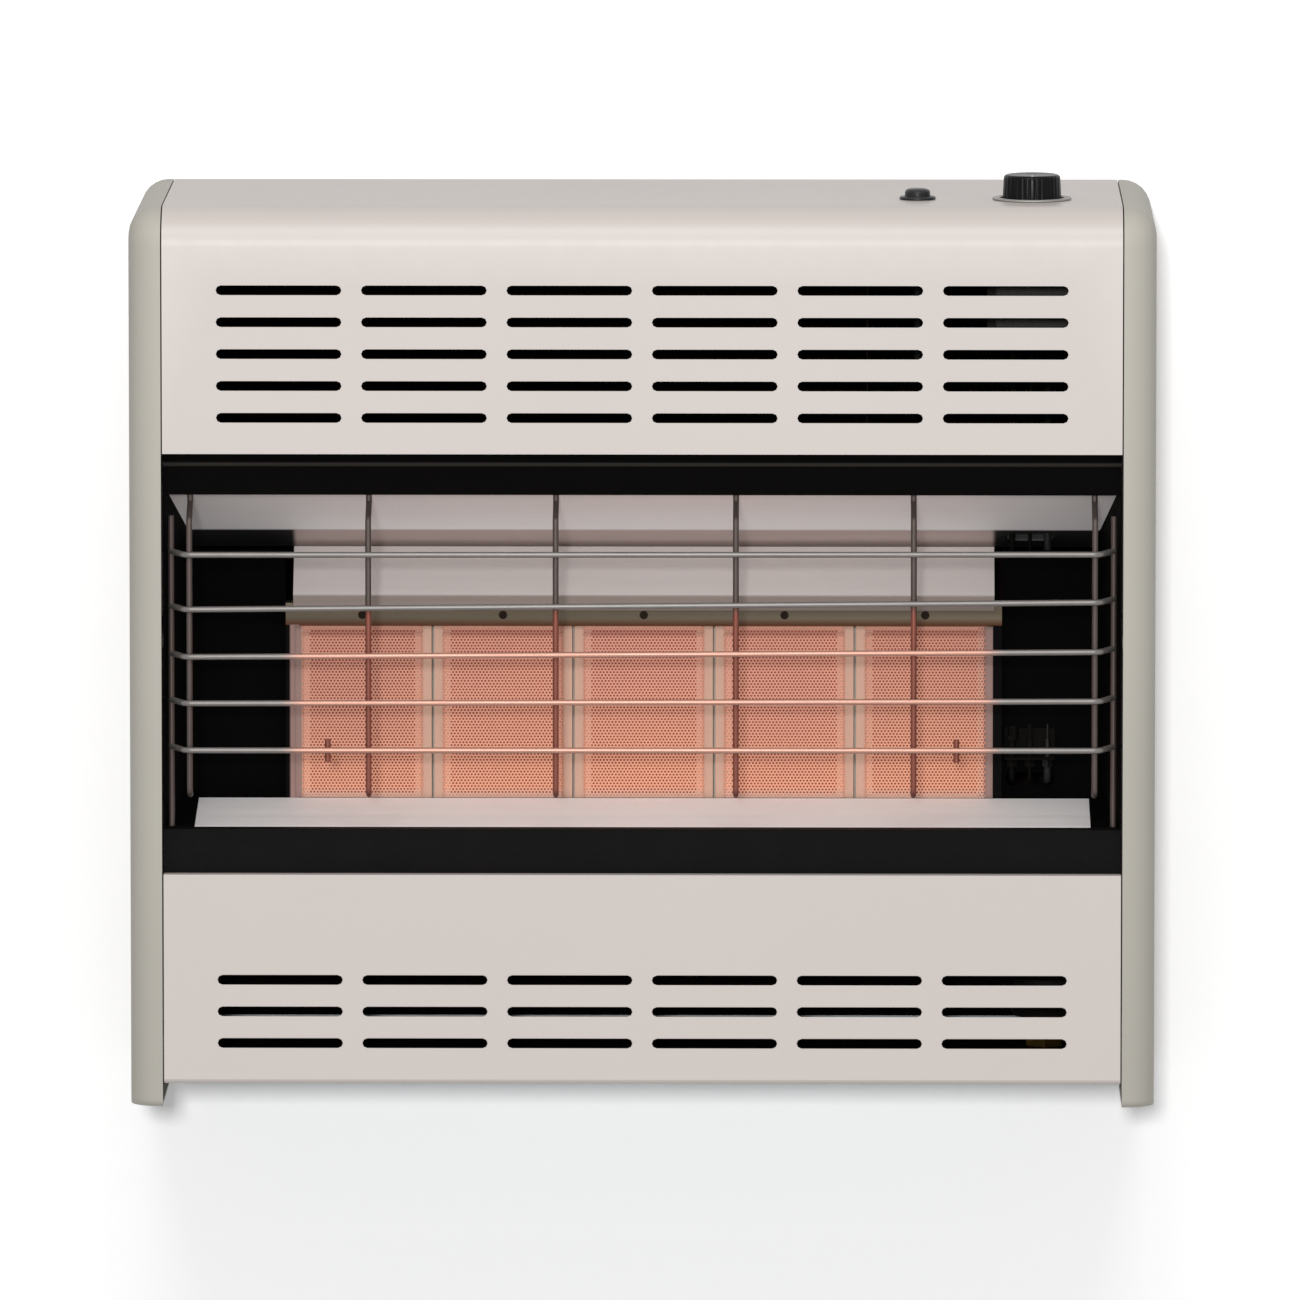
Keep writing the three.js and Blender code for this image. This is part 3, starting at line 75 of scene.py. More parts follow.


class Body(Enum):
    """The bodies that the heater's pieces ride on."""

    HEATER = "heater"
    WASHER = "stem_washer"
    KNOB = "knob"
    BUTTON = "igniter_button"


class Side(Enum):
    """The heater's two ends, as seen from the front."""

    LEFT = -1
    RIGHT = 1


class Facing(Enum):
    """The way that a screw's head faces, as its turn about X from upright."""

    FRONT = math.pi / 2
    DOWN = math.pi


def rgb(red: int, green: int, blue: int) -> Colour:
    """A colour written as a screen shows it, as linear light.

    Args:
        red: its red, from 0 to 255.
        green: its green, from 0 to 255.
        blue: its blue, from 0 to 255.

    Returns:
        The colour in linear light, from 0 to 1.
    """
    def linear(value: int) -> float:
        """One channel in linear light."""
        share = value / 255
        return share / 12.92 if share <= 0.04045 else ((share + 0.055) / 1.055) ** 2.4
    return linear(red), linear(green), linear(blue)


# ---------------------------------------------------------------- shader expressions
class Socket:
    """A shader's value that Python's operators work on: each adds a Math node."""

    def __init__(self, paint: "Paint", link: bpy.types.NodeSocket) -> None:
        """Wraps an output socket of the paint's tree."""
        self.paint = paint
        self.link = link

    def _math(self, operation: str, *values: Number) -> "Socket":
        """A Math node on values, this socket among them."""
        return self.paint.add("ShaderNodeMath", {"operation": operation}, dict(enumerate(values)))

    def __add__(self, other: Number) -> "Socket":
        """This plus other."""
        return self._math("ADD", self, other)

    __radd__ = __add__

    def __mul__(self, other: Number) -> "Socket":
        """This times other."""
        return self._math("MULTIPLY", self, other)

    __rmul__ = __mul__

    def __sub__(self, other: Number) -> "Socket":
        """This less other."""
        return self._math("SUBTRACT", self, other)

    def __rsub__(self, other: Number) -> "Socket":
        """The other less this."""
        return self._math("SUBTRACT", other, self)

    def __truediv__(self, other: Number) -> "Socket":
        """This over other."""
        return self._math("DIVIDE", self, other)

    def __abs__(self) -> "Socket":
        """This without its sign."""
        return self._math("ABSOLUTE", self)

    def __lt__(self, other: Number) -> "Socket":
        """1 where this is less than other, and 0 elsewhere."""
        return self._math("LESS_THAN", self, other)

    def __gt__(self, other: Number) -> "Socket":
        """1 where this is more than other, and 0 elsewhere."""
        return self._math("GREATER_THAN", self, other)

    def larger(self, other: Number) -> "Socket":
        """The larger of this and other."""
        return self._math("MAXIMUM", self, other)

    def clamped(self) -> "Socket":
        """This held between 0 and 1."""
        return self.paint.add("ShaderNodeClamp", {}, {0: self})

    def between(self, low: float, high: float) -> "Socket":
        """0 at low and 1 at high, smoothed and held outside them.

        Args:
            low: the value that becomes 0.
            high: the value that becomes 1.

        Returns:
            The smoothed share.
        """
        return self.paint.add("ShaderNodeMapRange", {"interpolation_type": "SMOOTHSTEP"},
                              {0: self, 1: low, 2: high})


class Paint:
    """A material's or the world's node tree, written as expressions on its sockets."""

    def __init__(self, owner: Union[bpy.types.Material, bpy.types.World],
                 output: str = "ShaderNodeOutputMaterial") -> None:
        """Empties the owner's tree but for its output.

        Args:
            owner: the material or world whose tree it is.
            output: the output node's type.
        """
        owner.use_nodes = True
        self.tree = owner.node_tree
        self.tree.nodes.clear()
        self.output = self.tree.nodes.new(output)

    def add(self, kind: str, settings: dict[str, Any], inputs: dict[Union[int, str], Any],
            output: Union[int, str] = 0) -> Socket:
        """A node of any type.

        Args:
            kind: the node's type.
            settings: its properties, set before its sockets.
            inputs: values or links by socket name or number.
            output: the socket that is given back.

        Returns:
            The wrapped output socket.
        """
        node = self.tree.nodes.new(kind)
        for name, value in settings.items():
            setattr(node, name, value)
        for name, value in inputs.items():
            if isinstance(value, Socket):
                self.tree.links.new(value.link, node.inputs[name])
            elif isinstance(value, tuple) and len(value) == 3 and node.inputs[name].type == "RGBA":
                node.inputs[name].default_value = (*value, 1.0)
            else:
                node.inputs[name].default_value = value
        return Socket(self, node.outputs[output])

    def place(self, stretch: Point = (1.0, 1.0, 1.0)) -> Socket:
        """The piece's own coordinates in metres, stretched along each axis."""
        coordinates = self.add("ShaderNodeTexCoord", {}, {}, "Object")
        return self.add("ShaderNodeMapping", {}, {"Vector": coordinates, "Scale": stretch})

    def axis(self, name: str) -> Socket:
        """One coordinate of the piece's own place, "X", "Y" or "Z"."""
        coordinates = self.add("ShaderNodeTexCoord", {}, {}, "Object")
        return self.add("ShaderNodeSeparateXYZ", {}, {0: coordinates}, name)

    def noise(self, scale: float, detail: float = 2.0, stretch: Point = (1.0, 1.0, 1.0)) -> Socket:
        """Cloudy noise from 0 to 1.

        Args:
            scale: features to the metre.
            detail: octaves.
            stretch: how the piece's axes are stretched first.

        Returns:
            The noise.
        """
        return self.add("ShaderNodeTexNoise", {}, {
            "Vector": self.place(stretch), "Scale": scale, "Detail": detail})

    def cells(self, scale: float) -> Socket:
        """A grey that differs from cell to cell, as spangle does."""
        colour = self.add("ShaderNodeTexVoronoi", {}, {"Vector": self.place(), "Scale": scale}, "Color")
        return self.add("ShaderNodeSeparateColor", {}, {0: colour})

    def mix(self, share: Number, first: Union[Socket, Colour], second: Union[Socket, Colour]) -> Socket:
        """Two colours mixed by a share."""
        return self.add("ShaderNodeMix", {"data_type": "RGBA"}, {0: share, 6: first, 7: second}, 2)

    def bump(self, height: Socket, distance: float) -> Socket:
        """A normal from a height from 0 to 1 that stands for a distance in metres."""
        return self.add("ShaderNodeBump", {}, {"Height": height, "Distance": distance, "Strength": 1.0})

    def surface(self, **sockets: Any) -> None:
        """Ends the tree in a Principled shader, its sockets named with low lines for spaces."""
        self.end(self.add("ShaderNodeBsdfPrincipled", {}, {
            name.replace("_", " "): value for name, value in sockets.items()}))

    def end(self, shader: Socket) -> None:
        """Ends the tree in any shader."""
        self.tree.links.new(shader.link, self.output.inputs["Surface"])


# ---------------------------------------------------------------- finishes
NOWHERE = 9.0           # a place in metres that no piece reaches, for a mark that a finish doesn't have


@dataclass(frozen=True)
class Finish:
    """A finish that pieces share: its record slot, its colour and its gloss."""

    name: str
    slot: str
    colour: Colour
    roughness: float = 0.4

    def write(self, paint: Paint) -> None:
        """Writes the finish's own nodes."""
        raise NotImplementedError

    @property
    def material(self) -> bpy.types.Material:
        """The finish's material, made once."""
        return made_material(self)

    def shades(self, paint: Paint, share: Number, dark: float, light: float) -> Socket:
        """The finish's colour between two brightnesses."""
        ends = [tuple(min(c * gain, 1.0) for c in self.colour) for gain in (dark, light)]
        return paint.mix(share, *ends)


@functools.lru_cache(maxsize=None)
def made_material(finish: Finish) -> bpy.types.Material:
    """The material of a finish, made at its first use.

    Args:
        finish: the finish to write.

    Returns:
        Its material, the same one each time.
    """
    material = bpy.data.materials.new(finish.name)
    finish.write(Paint(material))
    return material


@dataclass(frozen=True)
class BakedEnamel(Finish):
    """Smooth baked enamel on sheet steel, with a faint orange peel."""

    peel: float = 0.00002
    sheen: float = 0.3

    def write(self, paint: Paint) -> None:
        """The enamel's colour drift, gloss and orange peel.

        Args:
            paint: the material's tree.
        """
        drift = paint.noise(5.0, detail=3.0)
        peel = paint.noise(420.0, detail=2.0)
        paint.surface(
            Base_Color=self.shades(paint, drift, 0.97, 1.02),
            Roughness=self.roughness + 0.06 * paint.noise(60.0, detail=3.0),
            Specular_IOR_Level=self.sheen,
            Normal=paint.bump(peel, self.peel))


@dataclass(frozen=True)
class MouldedPlastic(Finish):
    """Moulded plastic with a fine spark-eroded grain."""

    grain: float = 0.00003
    sheen: float = 0.4

    def write(self, paint: Paint) -> None:
        """Plastic's grain, and gloss that is rubbed unevenly.

        Args:
            paint: the material's tree.
        """
        grain = paint.noise(1400.0, detail=2.0)
        paint.surface(
            Base_Color=self.shades(paint, paint.noise(8.0, detail=2.0), 0.96, 1.04),
            Roughness=self.roughness + 0.1 * paint.noise(45.0, detail=4.0),
            Specular_IOR_Level=self.sheen,
            Normal=paint.bump(grain, self.grain))


@dataclass(frozen=True)
class GalvanisedSheet(Finish):
    """Zinc-coated sheet with its spangle."""

    def write(self, paint: Paint) -> None:
        """Spangle in colour and gloss, with rolling lines.

        Args:
            paint: the material's tree.
        """
        spangle = paint.cells(70.0)
        stain = paint.noise(9.0, detail=5.0)
        paint.surface(
            Base_Color=self.shades(paint, 0.6 * spangle + 0.4 * stain, 0.8, 1.1),
            Metallic=0.85,
            Roughness=self.roughness + 0.16 * spangle,
            Normal=paint.bump(paint.noise(800.0, detail=2.0, stretch=(0.05, 1.0, 1.0)), 0.00002))


@dataclass(frozen=True)
class HeatBlack(Finish):
    """Matt black paint or heat scale, dry and slightly dusty, with a painted highlight that may run along
    one edge.
    """

    dust: float = 0.02
    sheen: float = 0.05
    rubbed_z: float = NOWHERE

    def write(self, paint: Paint) -> None:
        """The dry grain, the pale dusting and the painted highlight along an edge.

        Args:
            paint: the material's tree.
        """
        dust = paint.noise(30.0, detail=6.0)
        # Painted highlight: a pale line at one height, where an edge would catch the lamp.
        painted_highlight = 1.0 - abs(paint.axis("Z") - self.rubbed_z).between(0.0006, 0.0018)
        paint.surface(
            Base_Color=paint.mix((self.dust * dust + 0.6 * painted_highlight).clamped(), self.colour, rgb(70, 66, 62)),
            Roughness=self.roughness + 0.1 * paint.noise(200.0, detail=3.0),
            Specular_IOR_Level=self.sheen,
            Normal=paint.bump(paint.noise(1800.0, detail=2.0), 0.00003))


@dataclass(frozen=True)
class PolishedSheet(Finish):
    """Rolled sheet dulled by heat: streaks along X, a slight ripple, and below a height a painted
    reflection, black at the ends.
    """

    ripple: float = 0.00004
    metal: float = 0.05
    brown: Colour = rgb(150, 134, 130)
    brown_z: float = -NOWHERE
    soot_x: float = NOWHERE

    def write(self, paint: Paint) -> None:
        """Rolling streaks in colour and gloss, the painted reflection below a height, black at the ends,
        and the ripple.

        Args:
            paint: the material's tree.
        """
        streaks = paint.noise(260.0, detail=4.0, stretch=(0.02, 1.0, 1.0))
        ripple = paint.noise(14.0, detail=2.0, stretch=(0.4, 1.0, 1.0))
        tarnish = paint.noise(6.0, detail=4.0, stretch=(0.5, 1.0, 1.0))
        skin = self.shades(paint, 0.5 * streaks + 0.5 * tarnish, 0.88, 1.05)
        # Painted reflection: below a height the sheet takes a colour for what it would mirror, the glowing
        # burner in the middle and black at the ends.
        above_reflection = paint.axis("Z").between(self.brown_z - 0.0008, self.brown_z + 0.0008)
        black_share = abs(paint.axis("X")).between(self.soot_x - 0.002, self.soot_x + 0.002)
        painted_reflection = paint.mix(black_share, self.brown, rgb(8, 6, 6))
        paint.surface(
            Base_Color=paint.mix(above_reflection, painted_reflection, skin),
            Metallic=self.metal,
            Roughness=self.roughness + 0.14 * streaks,
            Normal=paint.bump(ripple, self.ripple))


@dataclass(frozen=True)
class TurnedMetal(Finish):
    """Machined, drawn or plated metal: fine lines and a slight stain."""

    def write(self, paint: Paint) -> None:
        """Fine lines about the piece and a cloudy stain.

        Args:
            paint: the material's tree.
        """
        stain = paint.noise(40.0, detail=5.0)
        paint.surface(
            Base_Color=self.shades(paint, stain, 0.88, 1.05),
            Metallic=1.0,
            Roughness=self.roughness + 0.12 * paint.noise(90.0, detail=4.0),
            Normal=paint.bump(paint.noise(1200.0, detail=2.0, stretch=(1.0, 1.0, 0.2)), 0.00002))


@dataclass(frozen=True)
class GuardWire(Finish):
    """Plated wire, dull from heat: its own grey at the guard's ends, and in front of the plaques a painted
    rosy reflection of their glow.
    """

    rose: Colour = rgb(184, 138, 122)
    rose_x: float = 0.236
    rose_z: float = 0.012

    def write(self, paint: Paint) -> None:
        """The plating's cloudy gloss and the painted reflection of the plaques' glow.

        Args:
            paint: the material's tree.
        """
        ends = abs(paint.axis("X")).between(self.rose_x - 0.012, self.rose_x + 0.008)
        above = paint.axis("Z").between(self.rose_z - 0.006, self.rose_z + 0.006)
        cloud = paint.noise(60.0, detail=4.0)
        # Painted reflection: rosy where the wire passes in front of the glowing plaques.
        glow_share = (1.0 - ends) * (1.0 - above)
        paint.surface(
            Base_Color=paint.mix(glow_share, self.shades(paint, cloud, 0.82, 1.1), self.rose),
            Metallic=0.5,
            Roughness=self.roughness + 0.12 * cloud,
            Specular_IOR_Level=0.3,
            Normal=paint.bump(paint.noise(900.0, detail=2.0), 0.00002))


@dataclass(frozen=True)
class HeatedFrame(Finish):
    """The plaques' steel frame: straw brown, with painted shade along its lip, its left end ashen and then
    sooty.
    """

    lip_z: float = 0.0040
    side_x: float = 0.2330
    ash_x: float = -0.2391
    lip: Colour = rgb(70, 46, 33)
    ash: Colour = rgb(156, 126, 120)

    def write(self, paint: Paint) -> None:
        """The straw brown, the painted shade along the lip and the side strips' ash and soot.

        Args:
            paint: the material's tree.
        """
        height, across = paint.axis("Z"), paint.axis("X")
        stain = paint.noise(40.0, detail=5.0)
        # Painted shade: darker along the lower edge of the frame's band.
        lip_shaded = 1.0 - height.between(self.lip_z - 0.0004, self.lip_z + 0.0058)
        strips = (1.0 - height.between(self.lip_z - 0.0006, self.lip_z)) * (abs(across) > self.side_x)
        black_share = 1.0 - across.between(self.ash_x - 0.0008, self.ash_x + 0.0008) * (across < 0.0)
        band = paint.mix(lip_shaded, self.shades(paint, stain, 0.7, 1.05), self.lip)
        paint.surface(
            Base_Color=paint.mix(strips, band, paint.mix(black_share, self.ash, rgb(7, 5, 5))),
            Metallic=1.0 - strips,
            Roughness=self.roughness + 0.12 * stain,
            Specular_IOR_Level=0.03,
            Normal=paint.bump(paint.noise(700.0, detail=2.0, stretch=(1.0, 1.0, 0.2)), 0.00002))


@dataclass(frozen=True)
class CastMetal(Finish):
    """Die-cast metal: a pebbled skin with darker hollows."""

    def write(self, paint: Paint) -> None:
        """The pebbled skin.

        Args:
            paint: the material's tree.
        """
        pebble = paint.noise(500.0, detail=5.0)
        paint.surface(
            Base_Color=self.shades(paint, pebble, 0.78, 1.08),
            Metallic=0.3,
            Roughness=self.roughness + 0.15 * pebble,
            Normal=paint.bump(pebble, 0.00012))


@dataclass(frozen=True)
class GlowingCeramic(Finish):
    """A perforated plaque at work: salmon, with painted shade in its holes and below its lip, ashen along
    its foot.
    """

    heat: float = 1.0
    face_y: float = -0.130
    hole_depth: float = 0.0022
    low_z: float = -0.1229
    high_z: float = 0.0121
    shade_z: float = -0.0016
    ash_z: float = -0.1085
    warm: Colour = rgb(234, 169, 140)
    deep: Colour = rgb(160, 74, 58)
    ember: Colour = rgb(255, 118, 60)

    def write(self, paint: Paint) -> None:
        """Colour by height and by cloudy patches of heat, with painted shade by depth in the holes and
        below the lip.

        Args:
            paint: the material's tree.
        """
        rise = (paint.axis("Z") - self.low_z) / (self.high_z - self.low_z)
        patches = paint.noise(9.0, detail=3.0)
        warmth = (1.15 - rise + 0.9 * (patches - 0.5)).clamped()
        depth = ((paint.axis("Y") - self.face_y) / self.hole_depth).clamped()
        speckle = paint.noise(700.0, detail=3.0)
        skin = paint.mix(warmth, tuple(part * self.heat for part in self.colour), self.warm)
        skin = paint.mix(0.14 * speckle, skin, rgb(236, 208, 190))
        # Painted shadow: a darker band just below the plaque's top, under the frame's lip.
        groove = 1.0 - abs(paint.axis("Z") - self.shade_z).between(0.0010, 0.0034)
        skin = paint.mix(0.5 * groove, skin, rgb(116, 74, 60))
        ashen = 1.0 - paint.axis("Z").between(self.ash_z - 0.0050, self.ash_z + 0.0030)
        skin = paint.mix(0.62 * ashen, skin, rgb(198, 176, 166))
        paint.surface(
            # Painted shade: darker the deeper into a hole.
            Base_Color=paint.mix(0.7 * depth, skin, self.deep),
            Roughness=self.roughness,
            Specular_IOR_Level=0.1,
            Emission_Color=paint.mix(warmth, rgb(236, 96, 66), self.ember),
            Emission_Strength=0.05 * self.heat,
            Normal=paint.bump(speckle, 0.00008))


@dataclass(frozen=True)
class DryCeramic(Finish):
    """Unglazed ceramic or fibre: chalky, with a soft grain, and ends that may be ashen."""

    grain: float = 0.0001
    ash_left: float = -NOWHERE
    ash_right: float = NOWHERE

    def write(self, paint: Paint) -> None:
        """The chalky grain, faint stains and ash.

        Args:
            paint: the material's tree.
        """
        grain = paint.noise(600.0, detail=5.0)
        stain = paint.noise(25.0, detail=4.0)
        across = paint.axis("X")
        ashen = ((across > self.ash_right) + (across < self.ash_left)).clamped()
        skin = self.shades(paint, 0.5 * grain + 0.5 * stain, 0.86, 1.05)
        paint.surface(
            Base_Color=paint.mix(ashen, skin, rgb(158, 130, 123)),
            Roughness=self.roughness,
            Specular_IOR_Level=0.2,
            Normal=paint.bump(grain, self.grain))


@dataclass(frozen=True)
class SoftSleeve(Finish):
    """A rubbery sleeve with a dull, slightly dusty skin."""

    def write(self, paint: Paint) -> None:
        """The dull skin.

        Args:
            paint: the material's tree.
        """
        dust = paint.noise(120.0, detail=4.0)
        paint.surface(
            Base_Color=self.shades(paint, dust, 0.85, 1.1),
            Roughness=self.roughness + 0.1 * dust,
            Specular_IOR_Level=0.35,
            Normal=paint.bump(paint.noise(900.0, detail=2.0), 0.00003))


ENAMEL = BakedEnamel("cream_enamel", "cream_enamel", rgb(203, 194, 188), 0.38, sheen=0.65)
CAP_CREAM = MouldedPlastic("end_cap_cream", "end_cap_cream", rgb(184, 180, 170), 0.46, sheen=0.3)
GALVANISED = GalvanisedSheet("galvanised_sheet", "galvanised_sheet", rgb(168, 172, 174), 0.36)
# Painted shade: the casing's inner faces and its baffles are coloured near black, so that the louvres look
# dark inside.
INNER_PAINTED_SHADE = HeatBlack("dark_lining", "galvanised_sheet", rgb(22, 14, 11), 0.8, dust=0.0)
# The same painted shade on the enamel panels' inner faces.
PANEL_PAINTED_SHADE = HeatBlack("panel_lining", "cream_enamel", rgb(70, 58, 50), 0.8, dust=0.0)
BLACK_PAINT = HeatBlack("black_paint", "black_paint", rgb(9, 8, 8), 0.6, dust=0.04, sheen=0.06)
# Painted shade: the upper rail is a darker copy of black_paint, for the shade under the upper panel, and it
# carries a painted highlight along its lip's lower edge.
SHADED_RAIL_BLACK = HeatBlack("rail_black", "black_paint", rgb(4, 3, 3), 0.6, dust=0.01, sheen=0.025,
                       rubbed_z=0.1222)
SOOT_BLACK = HeatBlack("soot_black", "black_paint", rgb(4, 3, 3), 0.7, dust=0.01, sheen=0.03)
# The hood's lower facet is painted with a reflection: brown where it would mirror the glowing burner, black
# at the ends where it would mirror the black bays.
HOOD_SHEET = PolishedSheet("hood_sheet", "polished_sheet", rgb(250, 247, 246), 0.5, metal=0.08,
                           brown=rgb(190, 171, 165), brown_z=0.0673, soot_x=0.2365)
FLOOR_SHEET = PolishedSheet("floor_sheet", "polished_sheet", rgb(252, 249, 248), 0.5)
# The cover's flange is painted darker, as a painted reflection of the dark beneath it.
COVER_SHEET = PolishedSheet("cover_sheet", "polished_sheet", rgb(218, 210, 207), 0.45, ripple=0.00003,
                            metal=0.3, brown=rgb(122, 109, 102), brown_z=0.0240)
LEVEL_WIRE = GuardWire("level_wire", "bright_wire", rgb(124, 120, 117), 0.3)
# Painted shade: the uprights are the same plated wire as the level wires, coloured darker.
SHADED_UPRIGHT_WIRE = GuardWire("upright_wire", "bright_wire", rgb(84, 74, 70), 0.4,
                         rose=rgb(128, 74, 62), rose_z=0.0270)
STEEL = TurnedMetal("plain_steel", "plain_steel", rgb(141, 144, 147), 0.3)
FRAME_STEEL = HeatedFrame("frame_steel", "plain_steel", rgb(100, 91, 78), 0.5)
CLAMP_STEEL = HeatBlack("clamp_steel", "plain_steel", rgb(46, 36, 30), 0.6, dust=0.05)
# Heat scale, darkened further by painted shade so that the pilot parts vanish in the dark bay.
SCALED_SHADED_STEEL = HeatBlack("heat_scaled_steel", "plain_steel", rgb(9, 8, 7), 0.7, dust=0.05)
BRASS = TurnedMetal("brass", "brass", rgb(186, 150, 84), 0.24)
# The thermocouple lead's heat scale, darkened further by painted shade.
SCALED_SHADED_BRASS = HeatBlack("heat_scaled_brass", "brass", rgb(9, 8, 6), 0.7)
CAST = CastMetal("cast_aluminium", "cast_aluminium", rgb(46, 42, 40), 0.6)
# Painted shade: the gas tubes are coloured near black, so that they vanish in the dark bay.
SHADED_TUBE = HeatBlack("heat_scaled_tube", "tube_aluminium", rgb(9, 8, 7), 0.7)
BLACK_PLASTIC = MouldedPlastic("black_plastic", "black_plastic", rgb(7, 7, 8), 0.24,
                               grain=0.00002, sheen=0.12)
IGNITER_BLACK = MouldedPlastic("igniter_black", "black_plastic", rgb(30, 30, 31), 0.3,
                               grain=0.00002, sheen=0.3)
DIAL_STEEL = TurnedMetal("dial_steel", "dial_steel", rgb(164, 161, 157), 0.6)
DIAL_INK = MouldedPlastic("dial_ink", "black_plastic", rgb(52, 52, 54), 0.5)
DIAL_WHITE = MouldedPlastic("pointer_white", "black_plastic", rgb(222, 221, 216), 0.45)
PLAQUE_GLOW = GlowingCeramic("plaque_glow", "plaque_ceramic", rgb(214, 154, 138), 0.9)
PLAQUE_RIM = DryCeramic("plaque_rim", "plaque_ceramic", rgb(212, 172, 152), 0.9,
                        ash_left=-0.2315, ash_right=0.2262)
FIBRE = DryCeramic("ceramic_fibre", "ceramic_fibre", rgb(216, 210, 196), 0.95, grain=0.0003)
PORCELAIN = DryCeramic("dark_porcelain", "dark_porcelain", rgb(14, 12, 11), 0.5, grain=0.00001)
SILICONE = SoftSleeve("black_silicone", "black_silicone", rgb(10, 9, 9), 0.7)

BACK: Point = (0.0, 1.0, 0.0)
FRONT: Point = (0.0, -1.0, 0.0)
UP: Point = (0.0, 0.0, 1.0)
DOWN: Point = (0.0, 0.0, -1.0)


# ---------------------------------------------------------------- meshes and pieces
def linked(name: str, mesh: bpy.types.Mesh) -> bpy.types.Object:
    """A new object of the scene that holds a mesh.

    Args:
        name: the object's name.
        mesh: its mesh, or the curve of a text.

    Returns:
        The object, at the origin.
    """
    obj = bpy.data.objects.new(name, mesh)
    bpy.context.scene.collection.objects.link(obj)
    return obj


def evaluated(obj: bpy.types.Object) -> bpy.types.Mesh:
    """The mesh that an object's modifiers give; the object is removed.

    Args:
        obj: the object to turn into a plain mesh.

    Returns:
        The plain mesh.
    """
    graph = bpy.context.evaluated_depsgraph_get()
    mesh = bpy.data.meshes.new_from_object(obj.evaluated_get(graph), depsgraph=graph)
    bpy.data.objects.remove(obj)
    return mesh


def smoothed(mesh: bpy.types.Mesh, angle: float = EDGE_ANGLE) -> None:
    """Shades a mesh smooth, but for the edges that turn by more than an angle in degrees."""
    mesh.polygons.foreach_set("use_smooth", [True] * len(mesh.polygons))
    mesh.set_sharp_from_angle(angle=math.radians(angle))


def bevelled(name: str, mesh: bpy.types.Mesh, width: float, angle: float = EDGE_ANGLE) -> bpy.types.Mesh:
    """A mesh with its sharp edges rounded.

    Args:
        name: the working object's name.
        mesh: the mesh to round.
        width: the bevel's width in metres.
        angle: the least turn in degrees that counts as an edge.

    Returns:
        The rounded mesh.
    """
    obj = linked(name, mesh)
    edge = obj.modifiers.new("edge", "BEVEL")
    edge.width = width
    edge.segments = EDGE_STEPS
    edge.limit_method = "ANGLE"
    edge.angle_limit = math.radians(angle)
    edge.use_clamp_overlap = True
    edge.harden_normals = True
    return evaluated(obj)


def piece(name: str, mesh: bpy.types.Mesh, finish: Finish, body: Body = Body.HEATER,
          replaces: Sequence[str] = ()) -> bpy.types.Object:
    """A finished piece in the frame.

    Args:
        name: the piece's name.
        mesh: its mesh, in place; materials that it has already are kept.
        finish: its finish, which also names its slot.
        body: the body that it rides on.
        replaces: CAD nodes that it stands for.

    Returns:
        The piece's object.
    """
    if not len(mesh.materials):
        mesh.materials.append(finish.material)
    mesh.name = name
    obj = linked(name, mesh)
    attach(obj, body.value)
    if replaces:
        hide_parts(*replaces)
    log.info("%s: %d faces, %s, on %s", name, len(mesh.polygons), finish.name, body.value)
    return obj


def merged_copy(node: str) -> bpy.types.Mesh:
    """A copy of a CAD node's mesh with its loose triangles merged into flat faces.

    Args:
        node: the CAD node.

    Returns:
        The merged mesh, without materials.
    """
    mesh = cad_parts[node].data.copy()
    mesh.materials.clear()
    work = bmesh.new()
    work.from_mesh(mesh)
    bmesh.ops.remove_doubles(work, verts=work.verts, dist=MERGE_GAP)
    bmesh.ops.dissolve_limit(work, angle_limit=math.radians(FLAT_ANGLE), verts=work.verts, edges=work.edges)
    work.to_mesh(mesh)
    work.free()
    for layer in list(mesh.uv_layers):
        mesh.uv_layers.remove(layer)
    return mesh


def dressed(node: str, finish: Finish, edge: float, body: Body = Body.HEATER, angle: float = EDGE_ANGLE,
            shaded_ways: Sequence[Point] = (), shade_finish: Finish = INNER_PAINTED_SHADE) -> bpy.types.Object:
    """A CAD node's shape with eased edges and smooth bends, in its place.

    Args:
        node: the CAD node.
        finish: the piece's finish.
        edge: the easing of its edges in millimetres.
        body: the body that it rides on.
        angle: the least turn in degrees that counts as an edge.
        shaded_ways: directions; faces that look that way get painted shade.
        shade_finish: the finish of the painted shade.

    Returns:
        The piece that replaces the node.
    """
    mesh = merged_copy(node)
    smoothed(mesh, angle)
    if edge:
        mesh = bevelled(node + "_work", mesh, edge * MM, angle=angle)
    if shaded_ways:
        mesh.materials.append(finish.material)
        mesh.materials.append(shade_finish.material)
        for face in mesh.polygons:
            # painted shade on the faces that look the given ways
            face.material_index = int(any(face.normal.dot(Vector(way)) > SHADED_SHARE for way in shaded_ways))
    return piece(node + "_fine", mesh, finish, body, (node,))


def coil_spring(node: str) -> None:
    """A coil spring, on a mesh of its own.

    Args:
        node: the spring's CAD node.
    """
    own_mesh(dressed(node, STEEL, 0.0))


def mesh_from(name: str, verts: Iterable[Sequence[float]], faces: Iterable[Sequence[int]] = (),
              edges: Iterable[Sequence[int]] = ()) -> bpy.types.Mesh:
    """A mesh from its points, faces and edges.

    Args:
        name: the mesh's name.
        verts: its points.
        faces: its faces, as the numbers of their points.
        edges: its loose edges, as the numbers of their points.

    Returns:
        The mesh.
    """
    mesh = bpy.data.meshes.new(name)
    mesh.from_pydata([tuple(v) for v in verts], [tuple(e) for e in edges], [tuple(f) for f in faces])
    mesh.update()
    return mesh


